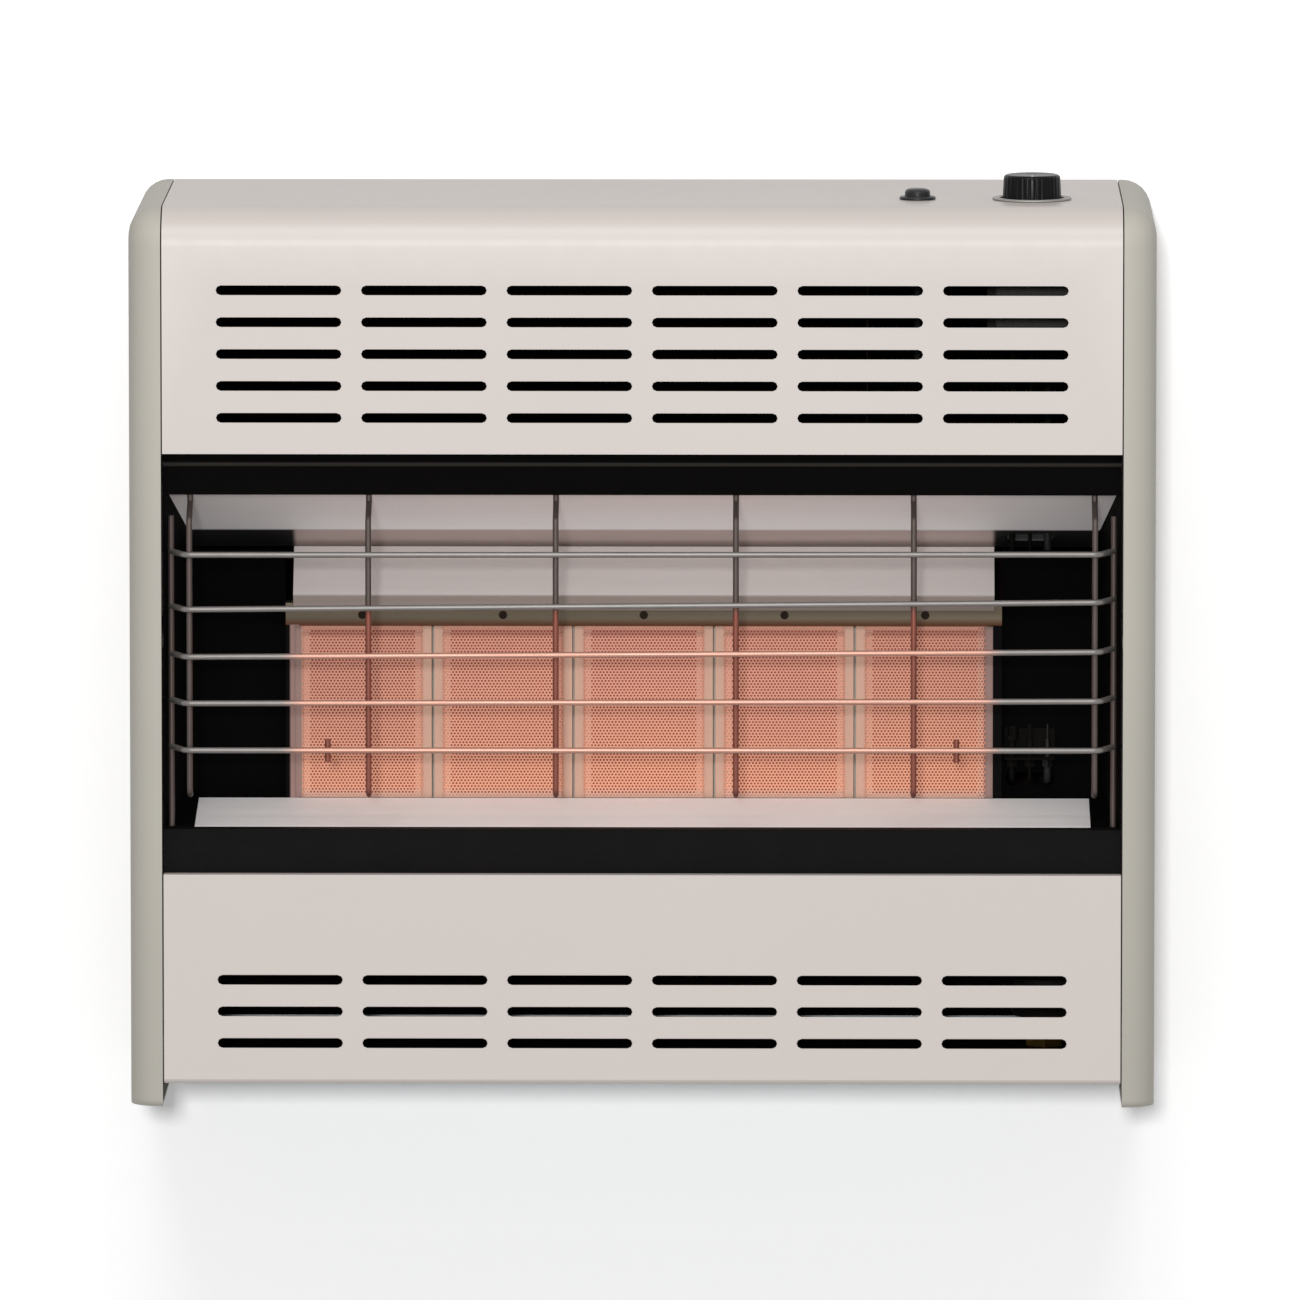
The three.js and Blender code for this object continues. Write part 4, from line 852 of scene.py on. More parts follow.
def revolved(name: str, profile: Sequence[tuple[float, float]], steps: int,
             centre: Point = (0.0, 0.0, 0.0)) -> bpy.types.Mesh:
    """A solid of revolution about an upright axis.

    Args:
        name: the mesh's name.
        profile: radius and height pairs, from the axis round the outside and back to the axis.
        steps: the steps round.
        centre: the axis's foot.

    Returns:
        The closed mesh, its faces outwards.
    """
    work = bmesh.new()
    rings = []
    for radius, height in profile:
        if radius == 0:
            rings.append([work.verts.new((centre[0], centre[1], centre[2] + height))])
            continue
        rings.append([work.verts.new((
            centre[0] + radius * math.cos(2 * math.pi * i / steps),
            centre[1] + radius * math.sin(2 * math.pi * i / steps),
            centre[2] + height)) for i in range(steps)])
    for low, high in zip(rings, rings[1:]):
        for i in range(steps):
            j = (i + 1) % steps
            corners = [low[i % len(low)], low[j % len(low)], high[j % len(high)], high[i % len(high)]]
            unique = list(dict.fromkeys(corners))
            if len(unique) > 2:
                work.faces.new(unique)
    bmesh.ops.recalc_face_normals(work, faces=work.faces)
    mesh = bpy.data.meshes.new(name)
    work.to_mesh(mesh)
    work.free()
    return mesh


def joined(name: str, meshes: Sequence[bpy.types.Mesh]) -> bpy.types.Mesh:
    """Several meshes as one, with their materials kept.

    Args:
        name: the whole mesh's name.
        meshes: the meshes to join.

    Returns:
        The whole mesh.
    """
    materials: list[bpy.types.Material] = []
    work = bmesh.new()
    for mesh in meshes:
        start = len(materials)
        materials.extend(mesh.materials)
        before = len(work.faces)
        work.from_mesh(mesh)
        work.faces.ensure_lookup_table()
        for face in work.faces[before:]:
            face.material_index += start
    result = bpy.data.meshes.new(name)
    work.to_mesh(result)
    work.free()
    for material in materials:
        result.materials.append(material)
    return result


# ---------------------------------------------------------------- geometry patterns
class Pattern:
    """A Geometry Nodes tree with named sizes, run once to a plain mesh."""

    def __init__(self, name: str) -> None:
        """A tree with a geometry input and output.

        Args:
            name: the tree's name.
        """
        self.name = name
        self.tree = bpy.data.node_groups.new(name, "GeometryNodeTree")
        self.tree.interface.new_socket("Geometry", in_out="OUTPUT", socket_type="NodeSocketGeometry")
        self.tree.interface.new_socket("Geometry", in_out="INPUT", socket_type="NodeSocketGeometry")
        self.inputs = self.tree.nodes.new("NodeGroupInput")
        self.sizes: dict[str, Any] = {}

    @property
    def geometry(self) -> bpy.types.NodeSocket:
        """The mesh that the pattern is run on."""
        return self.inputs.outputs["Geometry"]

    def size(self, name: str, value: Any, kind: str = "NodeSocketFloat") -> bpy.types.NodeSocket:
        """A named input of the tree and its value.

        Args:
            name: the input's name.
            value: a number, an object or a vector.
            kind: the socket's type.

        Returns:
            The socket inside the tree.
        """
        item = self.tree.interface.new_socket(name, in_out="INPUT", socket_type=kind)
        self.sizes[item.identifier] = value
        return self.inputs.outputs[name]

    def add(self, kind: str, settings: Optional[dict[str, Any]] = None,
            inputs: Optional[dict[Union[int, str], Any]] = None) -> bpy.types.Node:
        """A node of any type.

        Args:
            kind: the node's type.
            settings: its properties, set before its sockets.
            inputs: values or links by socket name or number.

        Returns:
            The node.
        """
        node = self.tree.nodes.new(kind)
        for name, value in (settings or {}).items():
            setattr(node, name, value)
        for name, value in (inputs or {}).items():
            if isinstance(value, bpy.types.NodeSocket):
                self.tree.links.new(value, node.inputs[name])
            else:
                node.inputs[name].default_value = value
        return node

    def maths(self, operation: str, *values: Any) -> bpy.types.NodeSocket:
        """A Math node's result."""
        return self.add("ShaderNodeMath", {"operation": operation}, dict(enumerate(values))).outputs[0]

    def run(self, geometry: bpy.types.NodeSocket, start: bpy.types.Mesh,
            material: bpy.types.Material) -> bpy.types.Mesh:
        """Realizes the geometry, sets its material and runs the tree on a mesh.

        Args:
            geometry: what the tree ends with.
            start: the mesh that it is run on.
            material: the material of the result.

        Returns:
            The plain mesh.
        """
        real = self.add("GeometryNodeRealizeInstances", {}, {0: geometry})
        painted = self.add("GeometryNodeSetMaterial", {}, {
            "Geometry": real.outputs[0], "Material": material})
        output = self.tree.nodes.new("NodeGroupOutput")
        self.tree.links.new(painted.outputs[0], output.inputs[0])
        obj = linked(self.name, start)
        modifier = obj.modifiers.new(self.name, "NODES")
        modifier.node_group = self.tree
        for identifier, value in self.sizes.items():
            modifier[identifier] = value
        mesh = evaluated(obj)
        if not len(mesh.materials):
            mesh.materials.append(material)
        return mesh


def wires(name: str, paths: Sequence[Sequence[Point]], radius: float, bend: float,
          finish: Finish) -> bpy.types.Mesh:
    """Round wires along straight paths with round bends.

    Args:
        name: the pattern's name.
        paths: each wire's corners.
        radius: the wire's radius.
        bend: the radius of its bends.
        finish: the wire's finish.

    Returns:
        The wires as one mesh.
    """
    verts: list[Point] = []
    edges: list[tuple[int, int]] = []
    for path in paths:
        first = len(verts)
        verts.extend(path)
        edges.extend((first + i, first + i + 1) for i in range(len(path) - 1))
    tree = Pattern(name)
    curve = tree.add("GeometryNodeMeshToCurve", {}, {0: tree.geometry})
    round_bends = tree.add("GeometryNodeFilletCurve", {"mode": "POLY"}, {
        "Curve": curve.outputs[0], "Radius": tree.size("Bend", bend), "Limit Radius": True,
        "Count": WIRE_BEND_STEPS})
    section = tree.add("GeometryNodeCurvePrimitiveCircle", {}, {
        "Resolution": WIRE_SIDES, "Radius": tree.size("Wire radius", radius)})
    tube = tree.add("GeometryNodeCurveToMesh", {}, {
        "Curve": round_bends.outputs[0], "Profile Curve": section.outputs[0], "Fill Caps": True})
    mesh = tree.run(tube.outputs[0], mesh_from(name, verts, (), edges), finish.material)
    smoothed(mesh, TUBE_ANGLE)
    return mesh


def strewn(name: str, places: Sequence[Point], shape: bpy.types.Mesh, facing: Facing,
           finish: Finish) -> bpy.types.Mesh:
    """One small shape repeated at places, such as a screw's head.

    Args:
        name: the pattern's name.
        places: where each copy's seat is.
        shape: the copy's mesh, its seat at the origin and its head towards +Z.
        facing: the way that its head faces.
        finish: the finish of the copies.

    Returns:
        All the copies as one mesh.
    """
    source = linked(name + "_one", shape)
    tree = Pattern(name)
    one = tree.add("GeometryNodeObjectInfo", {"transform_space": "ORIGINAL"}, {
        "Object": tree.size("Shape", source, "NodeSocketObject")})
    points = tree.add("GeometryNodeMeshToPoints", {}, {0: tree.geometry})
    copies = tree.add("GeometryNodeInstanceOnPoints", {}, {
        "Points": points.outputs[0], "Instance": one.outputs["Geometry"],
        "Rotation": tree.size("Facing", (facing.value, 0.0, 0.0), "NodeSocketVector")})
    mesh = tree.run(copies.outputs[0], mesh_from(name, places), finish.material)
    bpy.data.objects.remove(source)
    smoothed(mesh)
    return mesh


def hex_screw(radius: float, height: float, washer: float) -> bpy.types.Mesh:
    """A hexagon screw head on its washer, with a dished top.

    Args:
        radius: the hexagon's radius in millimetres.
        height: the head's height with the washer, in millimetres.
        washer: the washer's radius in millimetres.

    Returns:
        The head's mesh, standing on its seat.
    """
    disc = revolved("washer", [(0, 0), (washer, 0), (washer, 0.5), (washer - 0.5, 0.8), (0, 0.8)], 24)
    head = revolved("head", [(0, 0.6), (radius, 0.6), (radius, height - 0.4), (radius - 0.5, height),
                             (radius * 0.55, height), (radius * 0.4, height - 0.5), (0, height - 0.6)], 6)
    both = joined("hex_screw", [disc, head])
    both.transform(Matrix.Scale(MM, 4))
    return both


# ---------------------------------------------------------------- the heater's sub-assemblies
# The easing of an edge is in millimetres, angles are in degrees, and every other size is in metres.
@dataclass
class Casing:
    """The louvred enamel panels, the moulded end caps and the galvanised back and bottom."""

    edge: float = 0.4
    cap_edge: float = 0.3
    cap_angle: float = 32.0
    inner_edge: float = 0.25
    foot_z: float = -0.2935
    screw_columns: tuple[float, ...] = (-0.285, -0.095, 0.095)
    screw_rows: tuple[float, ...] = (-0.022, -0.213)

    def build(self) -> None:
        """Makes the casing's pieces."""
        # Faces turned inwards take painted shade.
        dressed("upper_front_panel", ENAMEL, self.edge, shaded_ways=(BACK, DOWN), shade_finish=PANEL_PAINTED_SHADE)
        dressed("lower_front_panel", ENAMEL, self.edge, shaded_ways=(BACK,), shade_finish=PANEL_PAINTED_SHADE)
        for side in Side:
            dressed(f"side_panel_{side.name.lower()}", CAP_CREAM, self.cap_edge, angle=self.cap_angle)
        for node in ("back_panel", "rear_heat_shield"):
            dressed(node, GALVANISED, self.inner_edge, shaded_ways=(FRONT,))
        dressed("bottom_panel", GALVANISED, self.inner_edge, shaded_ways=(UP,))
        dressed("wall_bracket", GALVANISED, self.inner_edge)
        # The baffles are coloured near black as painted shade.
        for node in ("heat_baffle", "bay_partition"):
            dressed(node, INNER_PAINTED_SHADE, self.inner_edge)
        self.screws()

    def screws(self) -> None:
        """Screws that hold the bottom panel."""
        places = [(x, y, self.foot_z) for x in self.screw_columns for y in self.screw_rows]
        shape = hex_screw(radius=2.6, height=1.4, washer=3.6)
        piece("bottom_screws", strewn("bottom_screws", places, shape, Facing.DOWN, STEEL), STEEL)


@dataclass
class RadiantSurround:
    """The black rails, the polished reflectors and the black side shields round the burner."""

    edge: float = 0.3

    def build(self) -> None:
        """Makes the surround's pieces."""
        # The upper rail's deeper black is painted shade, with a painted highlight along its lip.
        dressed("upper_rail", SHADED_RAIL_BLACK, self.edge)
        dressed("lower_rail", BLACK_PAINT, self.edge)
        for side in Side:
            dressed(f"side_shield_{side.name.lower()}", SOOT_BLACK, self.edge)
        dressed("upper_reflector", HOOD_SHEET, self.edge)
        dressed("lower_reflector", FLOOR_SHEET, self.edge)


@dataclass
class WireGuard:
    """The hand-welded guard: level wires bent back at both ends, and uprights with turned-in tips."""

    wire: float = 0.002
    hook_y: float = -0.219
    bend: float = 0.006
    upright_bend: float = 0.004
    overhang: float = 0.003
    box_gap: float = 0.0001
    columns: tuple[float, ...] = (-0.303, -0.1832, -0.0578, 0.0628, 0.1818, 0.303)
    heights: tuple[float, ...] = (-0.069, -0.036, -0.003, 0.030, 0.063)
    tilts: tuple[tuple[float, float], ...] = (
        (0.0004, 0.0008), (-0.0010, 0.0010), (-0.0027, 0.0012), (-0.0038, 0.0016), (0.0, 0.0008))
    weld_bite: float = 0.0005
    hook_top_z: float = 0.1088
    hook_foot_z: float = 0.0958
    shoulder_z: float = 0.0858
    foot_z: float = -0.0966
    toe: tuple[float, float] = (0.007, -0.003)
    end_foot_z: float = -0.1308
    end_top_z: float = 0.087
    clip_x: float = 0.2105
    clip_half: float = 0.0075

    def build(self) -> None:
        """Makes the bright level wires and the uprights, whose darker wire is painted shade."""
        low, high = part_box("wire_guard")
        end_x, front_y = high.x - self.wire, low.y + self.wire + self.box_gap
        reach = self.columns[-1] + self.overhang
        level_paths = [[(-end_x, self.hook_y, z + left), (-reach, front_y, z + left),
                        (reach, front_y, z + right), (end_x, self.hook_y, z + right)]
                       for z, (left, right) in zip(self.heights, self.tilts)]
        level_mesh = wires("guard_levels", level_paths, self.wire, self.bend, LEVEL_WIRE)
        piece("guard_levels", level_mesh, LEVEL_WIRE, replaces=("wire_guard",))
        y = front_y + 2 * self.wire - self.weld_bite
        upright_paths = [[(x, self.hook_y, self.hook_top_z), (x, self.hook_y, self.hook_foot_z),
                          (x, y, self.shoulder_z), (x, y, self.foot_z),
                          (x, y + self.toe[0], self.foot_z + self.toe[1])] for x in self.columns]
        ends = [[(side.value * end_x, self.hook_y, self.end_foot_z),
                 (side.value * end_x, self.hook_y, self.end_top_z)] for side in Side]
        clips = [[(side.value * self.clip_x, y, self.heights[0] - self.clip_half),
                  (side.value * self.clip_x, y, self.heights[0] + self.clip_half)] for side in Side]
        upright_mesh = wires("guard_uprights", upright_paths + ends + clips, self.wire, self.upright_bend,
                             SHADED_UPRIGHT_WIRE)
        piece("guard_uprights", upright_mesh, SHADED_UPRIGHT_WIRE)


@dataclass
class PlaqueBurner:
    """Five perforated plaques clamped in their frame, the plenum behind and the bright cover above."""

    edge: float = 0.25
    box_edge: float = 0.2
    injector_edge: float = 0.15
    border: float = 0.0045
    rim_edge: float = 0.0004
    step: float = 0.0008
    hole_pitch: float = 0.0023
    hole_share: float = 0.6
    hole_depth: float = 0.0024
    pocket_depth: float = 0.0028
    margin_rows: int = 3
    screw_z: float = 0.0106
    band_y: float = -0.1318
    heats: tuple[float, ...] = (0.86, 0.93, 1.0, 0.97, 0.88)

    def build(self) -> None:
        """Makes the burner's pieces."""
        for index, heat in enumerate(self.heats, 1):
            self.plaque(f"plaque_{index}", replace(PLAQUE_GLOW, name=f"plaque_glow_{index}", heat=heat))
        dressed("burner_frame", FRAME_STEEL, self.edge)
        dressed("burner_cover", COVER_SHEET, self.edge)
        dressed("burner_gasket", FIBRE, 0.0)
        for node in ("burner_box", "mixer_tube", "injector_cage"):
            dressed(node, GALVANISED, self.box_edge)
        dressed("injector", BRASS, self.injector_edge)
        self.screws()

    def plaque(self, node: str, finish: Finish) -> None:
        """One plaque: a plain rim round its perforated field.

        Args:
            node: the CAD node that it replaces.
            finish: its field's finish.
        """
        low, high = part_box(node)
        centre, size = (low + high) / 2, high - low
        rim = self.rim(node, low, high)
        field = self.field(node, size.x - 2 * self.border, size.z - 2 * self.border, finish)
        field.transform(Matrix.Translation((centre.x, low.y, centre.z)))
        piece(node + "_fine", joined(node + "_fine", [rim, field]), finish, replaces=(node,))

    def rim(self, node: str, low: Vector, high: Vector) -> bpy.types.Mesh:
        """The plaque's body, its front recessed under the field.

        Args:
            node: the plaque's name.
            low: its lowest corner.
            high: its highest corner.

        Returns:
            The body's mesh.
        """
        inset = self.border + self.margin_rows * self.hole_pitch
        face = low.y + self.step
        floor = low.y + self.pocket_depth
        rings = [(0.0, high.y), (0.0, face), (inset, face), (inset, floor)]
        verts: list[Point] = []
        for shift, y in rings:
            verts += [(low.x + shift, y, low.z + shift), (high.x - shift, y, low.z + shift),
                      (high.x - shift, y, high.z - shift), (low.x + shift, y, high.z - shift)]
        faces = [(0, 3, 2, 1), (12, 13, 14, 15)]
        for ring in range(3):
            for i in range(4):
                j = (i + 1) % 4
                faces.append((4 * ring + i, 4 * ring + 4 + i, 4 * ring + 4 + j, 4 * ring + j))
        mesh = mesh_from(node + "_rim", verts, faces)
        work = bmesh.new()
        work.from_mesh(mesh)
        bmesh.ops.recalc_face_normals(work, faces=work.faces)
        work.to_mesh(mesh)
        work.free()
        mesh = bevelled(node + "_rim_work", mesh, self.rim_edge)
        mesh.materials.append(PLAQUE_RIM.material)
        return mesh

    def field(self, node: str, width: float, height: float, finish: Finish) -> bpy.types.Mesh:
        """The perforated field, its holes in staggered rows, facing the front about the origin.

        Args:
            node: the plaque's name.
            width: the field's width.
            height: the field's height.
            finish: the field's finish.

        Returns:
            The field's mesh.
        """
        row = self.hole_pitch * math.sqrt(3) / 2
        across, up = int(width / self.hole_pitch), int(height / row)
        tree = Pattern(node + "_field")
        grid = tree.add("GeometryNodeMeshGrid", {}, {
            "Size X": tree.size("Width", across * self.hole_pitch),
            "Size Y": tree.size("Height", up * row),
            "Vertices X": tree.size("Columns", across + 1, "NodeSocketInt"),
            "Vertices Y": tree.size("Rows", up + 1, "NodeSocketInt")})
        place = tree.add("ShaderNodeSeparateXYZ", {}, {0: tree.add("GeometryNodeInputPosition").outputs[0]})
        rise = tree.maths("ADD", place.outputs["Y"], up * row / 2)
        number = tree.maths("ROUND", tree.maths("DIVIDE", rise, row))
        odd = tree.maths("SUBTRACT", tree.maths("MODULO", number, 2.0), 0.5)
        shift = tree.maths("MULTIPLY", odd, self.hole_pitch / 2)
        offset = tree.add("ShaderNodeCombineXYZ", {}, {"X": shift})
        moved = tree.add("GeometryNodeSetPosition", {}, {
            "Geometry": grid.outputs["Mesh"], "Offset": offset.outputs[0]})
        split = tree.add("GeometryNodeTriangulate", {"quad_method": "SHORTEST_DIAGONAL"}, {
            0: moved.outputs[0]})
        cells = tree.add("GeometryNodeDualMesh", {}, {0: split.outputs[0]})
        inner = tree.add("GeometryNodeExtrudeMesh", {"mode": "FACES"}, {
            "Mesh": cells.outputs[0], "Offset Scale": 0.0, "Individual": True})
        drawn = tree.add("GeometryNodeScaleElements", {"domain": "FACE"}, {
            "Geometry": inner.outputs["Mesh"], "Selection": inner.outputs["Top"],
            "Scale": tree.size("Hole share", self.hole_share)})
        depth = tree.maths("MULTIPLY", tree.size("Hole depth", self.hole_depth), -1.0)
        holes = tree.add("GeometryNodeExtrudeMesh", {"mode": "FACES"}, {
            "Mesh": drawn.outputs[0], "Selection": inner.outputs["Top"], "Offset Scale": depth,
            "Individual": True})
        rim = tree.add("GeometryNodeInputMeshEdgeNeighbors")
        lone = tree.add("FunctionNodeCompare", {"data_type": "INT", "operation": "EQUAL"}, {
            2: rim.outputs[0], 3: 1})
        skirt = tree.add("GeometryNodeExtrudeMesh", {"mode": "EDGES"}, {
            "Mesh": holes.outputs["Mesh"], "Selection": lone.outputs[0], "Offset": (0.0, 0.0, -1.0),
            "Offset Scale": tree.size("Step", self.step)})
        turned = tree.add("GeometryNodeTransform", {}, {
            "Geometry": skirt.outputs["Mesh"], "Rotation": (math.pi / 2, 0.0, 0.0)})
        return tree.run(turned.outputs[0], mesh_from(node + "_seed", [(0, 0, 0)]), finish.material)

    def screws(self) -> None:
        """The clamp screws on the frame's upper band, one over each plaque."""
        boxes = [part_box(f"plaque_{index}") for index in range(1, len(self.heats) + 1)]
        places = [((low.x + high.x) / 2, self.band_y, self.screw_z) for low, high in boxes]
        shape = hex_screw(radius=2.1, height=1.8, washer=2.8)
        mesh = strewn("clamp_screws", places, shape, Facing.FRONT, CLAMP_STEEL)
        piece("clamp_screws", mesh, CLAMP_STEEL)


@dataclass
class ControlKnob:
    """The fluted knob on its stem, the dial ring with its numbers, and the valve under the casing's top."""

    edge: float = 0.25
    stem_edge: float = 0.1
    washer_edge: float = 0.15
    radius: float = 0.0197
    top_z: float = 0.312
    foot_z: float = 0.287
    flutes: int = 30
    flute_depth: float = 0.0007
    flute_foot: float = 0.0095
    flute_top: float = 0.0016
    shoulder: float = 0.0012
    pointer_half: float = 0.0006
    pointer_ends: tuple[float, float] = (0.0024, 0.0095)
    pointer_wall: float = 0.0004
    ring_z: float = 0.2965
    ring_radius: float = 0.0240
    start: float = -90.0
    sweep: float = 240.0
    settings: int = 5
    numeral: float = 0.0046
    numeral_relief: float = 0.00006
    travel: float = 0.004

    def __post_init__(self) -> None:
        """Finds the knob's axis from its CAD node."""
        low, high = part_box("control_knob")
        self.x, self.y = (low.x + high.x) / 2, (low.y + high.y) / 2

    def build(self) -> None:
        """Makes the control's pieces."""
        self.knob()
        dressed("dial_bezel", DIAL_STEEL, self.edge)
        self.marks()
        for node, finish in (("valve_bonnet", BRASS), ("gas_valve", CAST), ("valve_bracket", GALVANISED)):
            dressed(node, finish, self.edge)
        coil_spring("stem_spring")
        dressed("valve_stem", STEEL, self.stem_edge, Body.KNOB)
        washer = bevelled("washer_work", merged_copy("thrust_washer"), self.washer_edge * MM)
        piece("thrust_washer_fine", washer, STEEL, Body.WASHER, ("thrust_washer",))

    def knob(self) -> None:
        """The knob: a fluted skirt under a dished cap, hollow below, with a white pointer line."""
        steps = 8 * self.flutes
        r, rise = self.radius, self.top_z - self.foot_z
        dish = [(0.0, rise - 0.0006), (0.55 * r, rise - 0.0007), (0.74 * r, rise - 0.0003)]
        shoulder = [(r - 0.0028, rise), (r - 0.0017, rise - 0.0004), (r - 0.0009, rise - 0.0013),
                    (r - 0.0006, rise - 0.0028)]
        skirt = [(r - 0.0001, 0.010), (r, 0.0012), (r - 0.0004, 0.0)]
        hollow = [(r - 0.0024, 0.0), (r - 0.0032, rise - 0.0045), (0.0, rise - 0.0045)]
        mesh = revolved("knob", dish + shoulder + skirt + hollow, steps, (self.x, self.y, self.foot_z))
        low, high = self.foot_z + self.flute_foot, self.top_z - self.flute_top
        for vert in mesh.vertices:
            out = math.hypot(vert.co.x - self.x, vert.co.y - self.y)
            if out < r - self.shoulder or not low < vert.co.z < high:
                continue
            angle = math.atan2(vert.co.y - self.y, vert.co.x - self.x)
            groove = self.flute_depth * max(0.0, math.cos(self.flutes * angle)) ** 2
            share = (out - groove) / out
            vert.co.x = self.x + (vert.co.x - self.x) * share
            vert.co.y = self.y + (vert.co.y - self.y) * share
        smoothed(mesh, TUBE_ANGLE)
        piece("control_knob_fine", mesh, BLACK_PLASTIC, Body.KNOB, ("control_knob",))
        half, (outer, inner) = self.pointer_half, self.pointer_ends
        solid = linked("pointer_work", mesh_from("pointer", [
            (-half, outer - r, 0), (half, outer - r, 0), (half, inner - r, 0), (-half, inner - r, 0)],
            [(0, 1, 2, 3)]))
        wall = solid.modifiers.new("wall", "SOLIDIFY")
        wall.thickness = self.pointer_wall
        wall.offset = 0.0
        line = evaluated(solid)
        line.transform(Matrix.Translation((self.x, self.y, self.top_z - self.pointer_wall / 2)))
        piece("knob_pointer", line, DIAL_WHITE, Body.KNOB)

    def marks(self) -> None:
        """Plain numbers round the dial ring."""
        meshes = []
        for number in range(self.settings + 1):
            angle = math.radians(self.start + self.sweep * number / self.settings)
            curve = bpy.data.curves.new("numeral", "FONT")
            curve.body = str(number)
            curve.size = self.numeral
            curve.align_x = "CENTER"
            curve.align_y = "CENTER"
            curve.extrude = self.numeral_relief
            mesh = evaluated(linked("numeral", curve))
            out = Vector((math.cos(angle), math.sin(angle), 0.0)) * self.ring_radius
            turn = Matrix.Rotation(angle + math.pi / 2, 4, "Z")
            centre = Vector((self.x, self.y, self.ring_z)) + out
            mesh.transform(Matrix.Translation(centre) @ turn)
            meshes.append(mesh)
        mesh = joined("dial_numbers", meshes)
        mesh.materials.clear()
        piece("dial_numbers", mesh, DIAL_INK)


@dataclass
class Igniter:
    """The piezo igniter: its collar and body, the nut below and the button that is pushed."""

    moulding_edge: float = 0.2
    nut_edge: float = 0.25
    travel: float = 0.005

    def build(self) -> None:
        """Makes the igniter's pieces."""
        dressed("igniter_body", IGNITER_BLACK, self.moulding_edge)
        dressed("igniter_nut", STEEL, self.nut_edge)
        dressed("igniter_button", IGNITER_BLACK, self.moulding_edge, Body.BUTTON)
        coil_spring("igniter_spring")


@dataclass
class GasLine:
    """The inlet, the regulator and the tubes to the valve, the burner and the pilot."""

    fitting_edge: float = 0.3
    casting_edge: float = 0.4

    def build(self) -> None:
        """Makes the gas line's pieces."""
        dressed("inlet_fitting", BRASS, self.fitting_edge)
        dressed("regulator", CAST, self.casting_edge)
        for node in ("supply_tube", "burner_tube", "pilot_tube"):
            # Painted shade: the tubes are near black.
            dressed(node, SHADED_TUBE, 0.0, angle=TUBE_ANGLE)


@dataclass
class Pilot:
    """The pilot burner, the thermocouple and the spark electrode on their bracket, with their leads."""

    edge: float = 0.15
    lead_angle: float = 62.0

    def build(self) -> None:
        """Makes the pilot's pieces."""
        for node in ("pilot_bracket", "pilot_burner", "thermocouple"):
            # Heat scale and painted shade make these near black.
            dressed(node, SCALED_SHADED_STEEL, self.edge)
        dressed("spark_electrode", PORCELAIN, self.edge)
        dressed("thermocouple_lead", SCALED_SHADED_BRASS, 0.0, angle=self.lead_angle)
        dressed("ignition_lead", SILICONE, 0.0, angle=TUBE_ANGLE)


# ---------------------------------------------------------------- studio
@dataclass
class Lamp:
    """A soft rectangular lamp, aimed at the heater."""

    name: str
    place: Point
    size: tuple[float, float]
    watts: float
    aim: Point = (0.0, -0.12, 0.0)

    def build(self) -> None:
        """Hangs the lamp."""
        data = bpy.data.lights.new(self.name, "AREA")
        data.shape = "RECTANGLE"
        data.size, data.size_y = self.size
        data.energy = self.watts
        lamp = bpy.data.objects.new(self.name, data)
        bpy.context.scene.collection.objects.link(lamp)
        lamp.location = self.place
        way = Vector(self.aim) - Vector(self.place)
        lamp.rotation_euler = way.to_track_quat("-Z", "Y").to_euler()


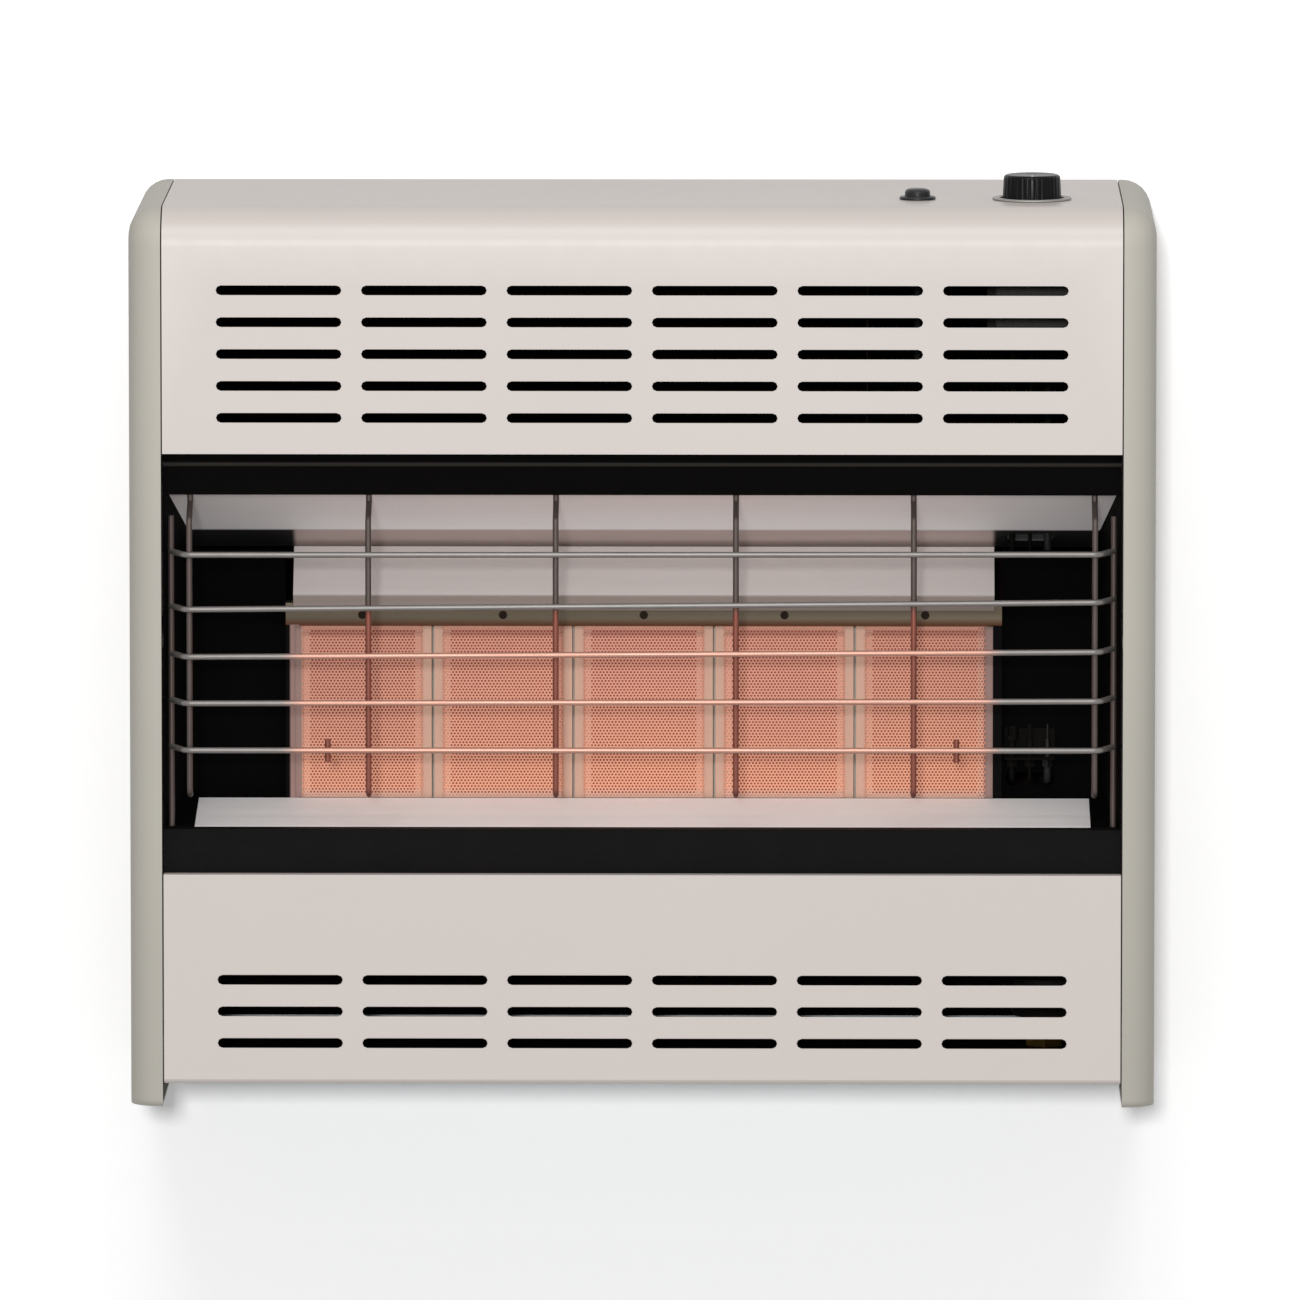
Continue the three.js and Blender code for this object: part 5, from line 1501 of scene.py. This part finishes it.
@dataclass
class Studio:
    """The camera, the lamps, the white surroundings, and a wall and floor that only keep the shadow."""

    azimuth: float = 0.6
    elevation: float = 6.45
    distance: float = 11.0
    view_width: float = 0.8705
    sensor: float = 36.0
    view_end: float = 100.0
    target: Point = (0.0053, -0.235, -0.0015)
    ambient: float = 0.36
    room_white: float = 1.25
    wall_y: float = 0.001
    floor_z: float = -0.75
    reach: float = 4.0

    def build(self) -> None:
        """Sets up the whole studio."""
        self.camera()
        self.world()
        self.lamps()
        self.room()

    def camera(self) -> None:
        """A long lens from slightly above and to the right."""
        data = bpy.data.cameras.new("camera")
        data.sensor_fit = "HORIZONTAL"
        data.sensor_width = self.sensor
        data.lens = self.sensor * self.distance / self.view_width
        data.clip_end = self.view_end
        camera = bpy.data.objects.new("camera", data)
        bpy.context.scene.collection.objects.link(camera)
        side, up = math.radians(self.azimuth), math.radians(self.elevation)
        back = Vector((math.sin(side) * math.cos(up), -math.cos(side) * math.cos(up), math.sin(up)))
        camera.location = Vector(self.target) + self.distance * back
        camera.rotation_euler = (-back).to_track_quat("-Z", "Y").to_euler()
        bpy.context.scene.camera = camera

    def world(self) -> None:
        """White to the camera, to gloss and to glass, and a plain grey light on everything else."""
        world = bpy.data.worlds.new("surroundings")
        bpy.context.scene.world = world
        sky = Paint(world, "ShaderNodeOutputWorld")
        camera, gloss, glass = (sky.add("ShaderNodeLightPath", {}, {}, f"Is {kind} Ray")
                                for kind in ("Camera", "Glossy", "Transmission"))
        strength = sky.add("ShaderNodeMix", {"data_type": "FLOAT"}, {
            0: camera.larger(gloss).larger(glass), 2: self.ambient, 3: 1.0})
        sky.end(sky.add("ShaderNodeBackground", {}, {"Color": (1.0, 1.0, 1.0), "Strength": strength}))

    def lamps(self) -> None:
        """A far key in front, which keeps the shadow narrow, and a soft light from above the front."""
        Lamp("key", place=(-0.52, -20.0, 3.1), size=(1.2, 1.25), watts=1500.0).build()
        Lamp("high", place=(0.0, -2.3, 2.2), size=(2.0, 1.0), watts=36.0).build()

    def room(self) -> None:
        """The wall behind the heater and the floor below it: white, and seen by the camera's rays only."""
        reach, back, floor = self.reach, self.wall_y, self.floor_z
        wall = mesh_from("wall", [(-reach, back, floor), (reach, back, floor), (reach, back, reach),
                                  (-reach, back, reach)], [(0, 1, 2, 3)])
        ground = mesh_from("floor", [(-reach, -reach, floor), (reach, -reach, floor), (reach, back, floor),
                                     (-reach, back, floor)], [(0, 1, 2, 3)])
        material = bpy.data.materials.new("room_white")
        paint = Paint(material)
        lit = paint.add("ShaderNodeBsdfDiffuse", {}, {"Color": (self.room_white,) * 3})
        clear = paint.add("ShaderNodeBsdfTransparent", {}, {})
        seen = paint.add("ShaderNodeLightPath", {}, {}, "Is Camera Ray")
        behind = paint.add("ShaderNodeNewGeometry", {}, {}, "Backfacing")
        paint.end(paint.add("ShaderNodeMixShader", {}, {0: seen * (1.0 - behind), 1: clear, 2: lit}))
        for mesh in (wall, ground):
            mesh.materials.append(material)
            linked(mesh.name, mesh)


def main() -> None:
    """Builds the studio and the heater's sub-assemblies in order."""
    logging.basicConfig(level=logging.INFO, format="%(name)s: %(message)s")
    bpy.context.scene.view_settings.view_transform = "Standard"
    Studio().build()
    for assembly in (Casing(), RadiantSurround(), WireGuard(), PlaqueBurner(), ControlKnob(), Igniter(),
                     GasLine(), Pilot()):
        log.info("building %s", type(assembly).__name__)
        assembly.build()


if __name__ == "__main__":
    main()
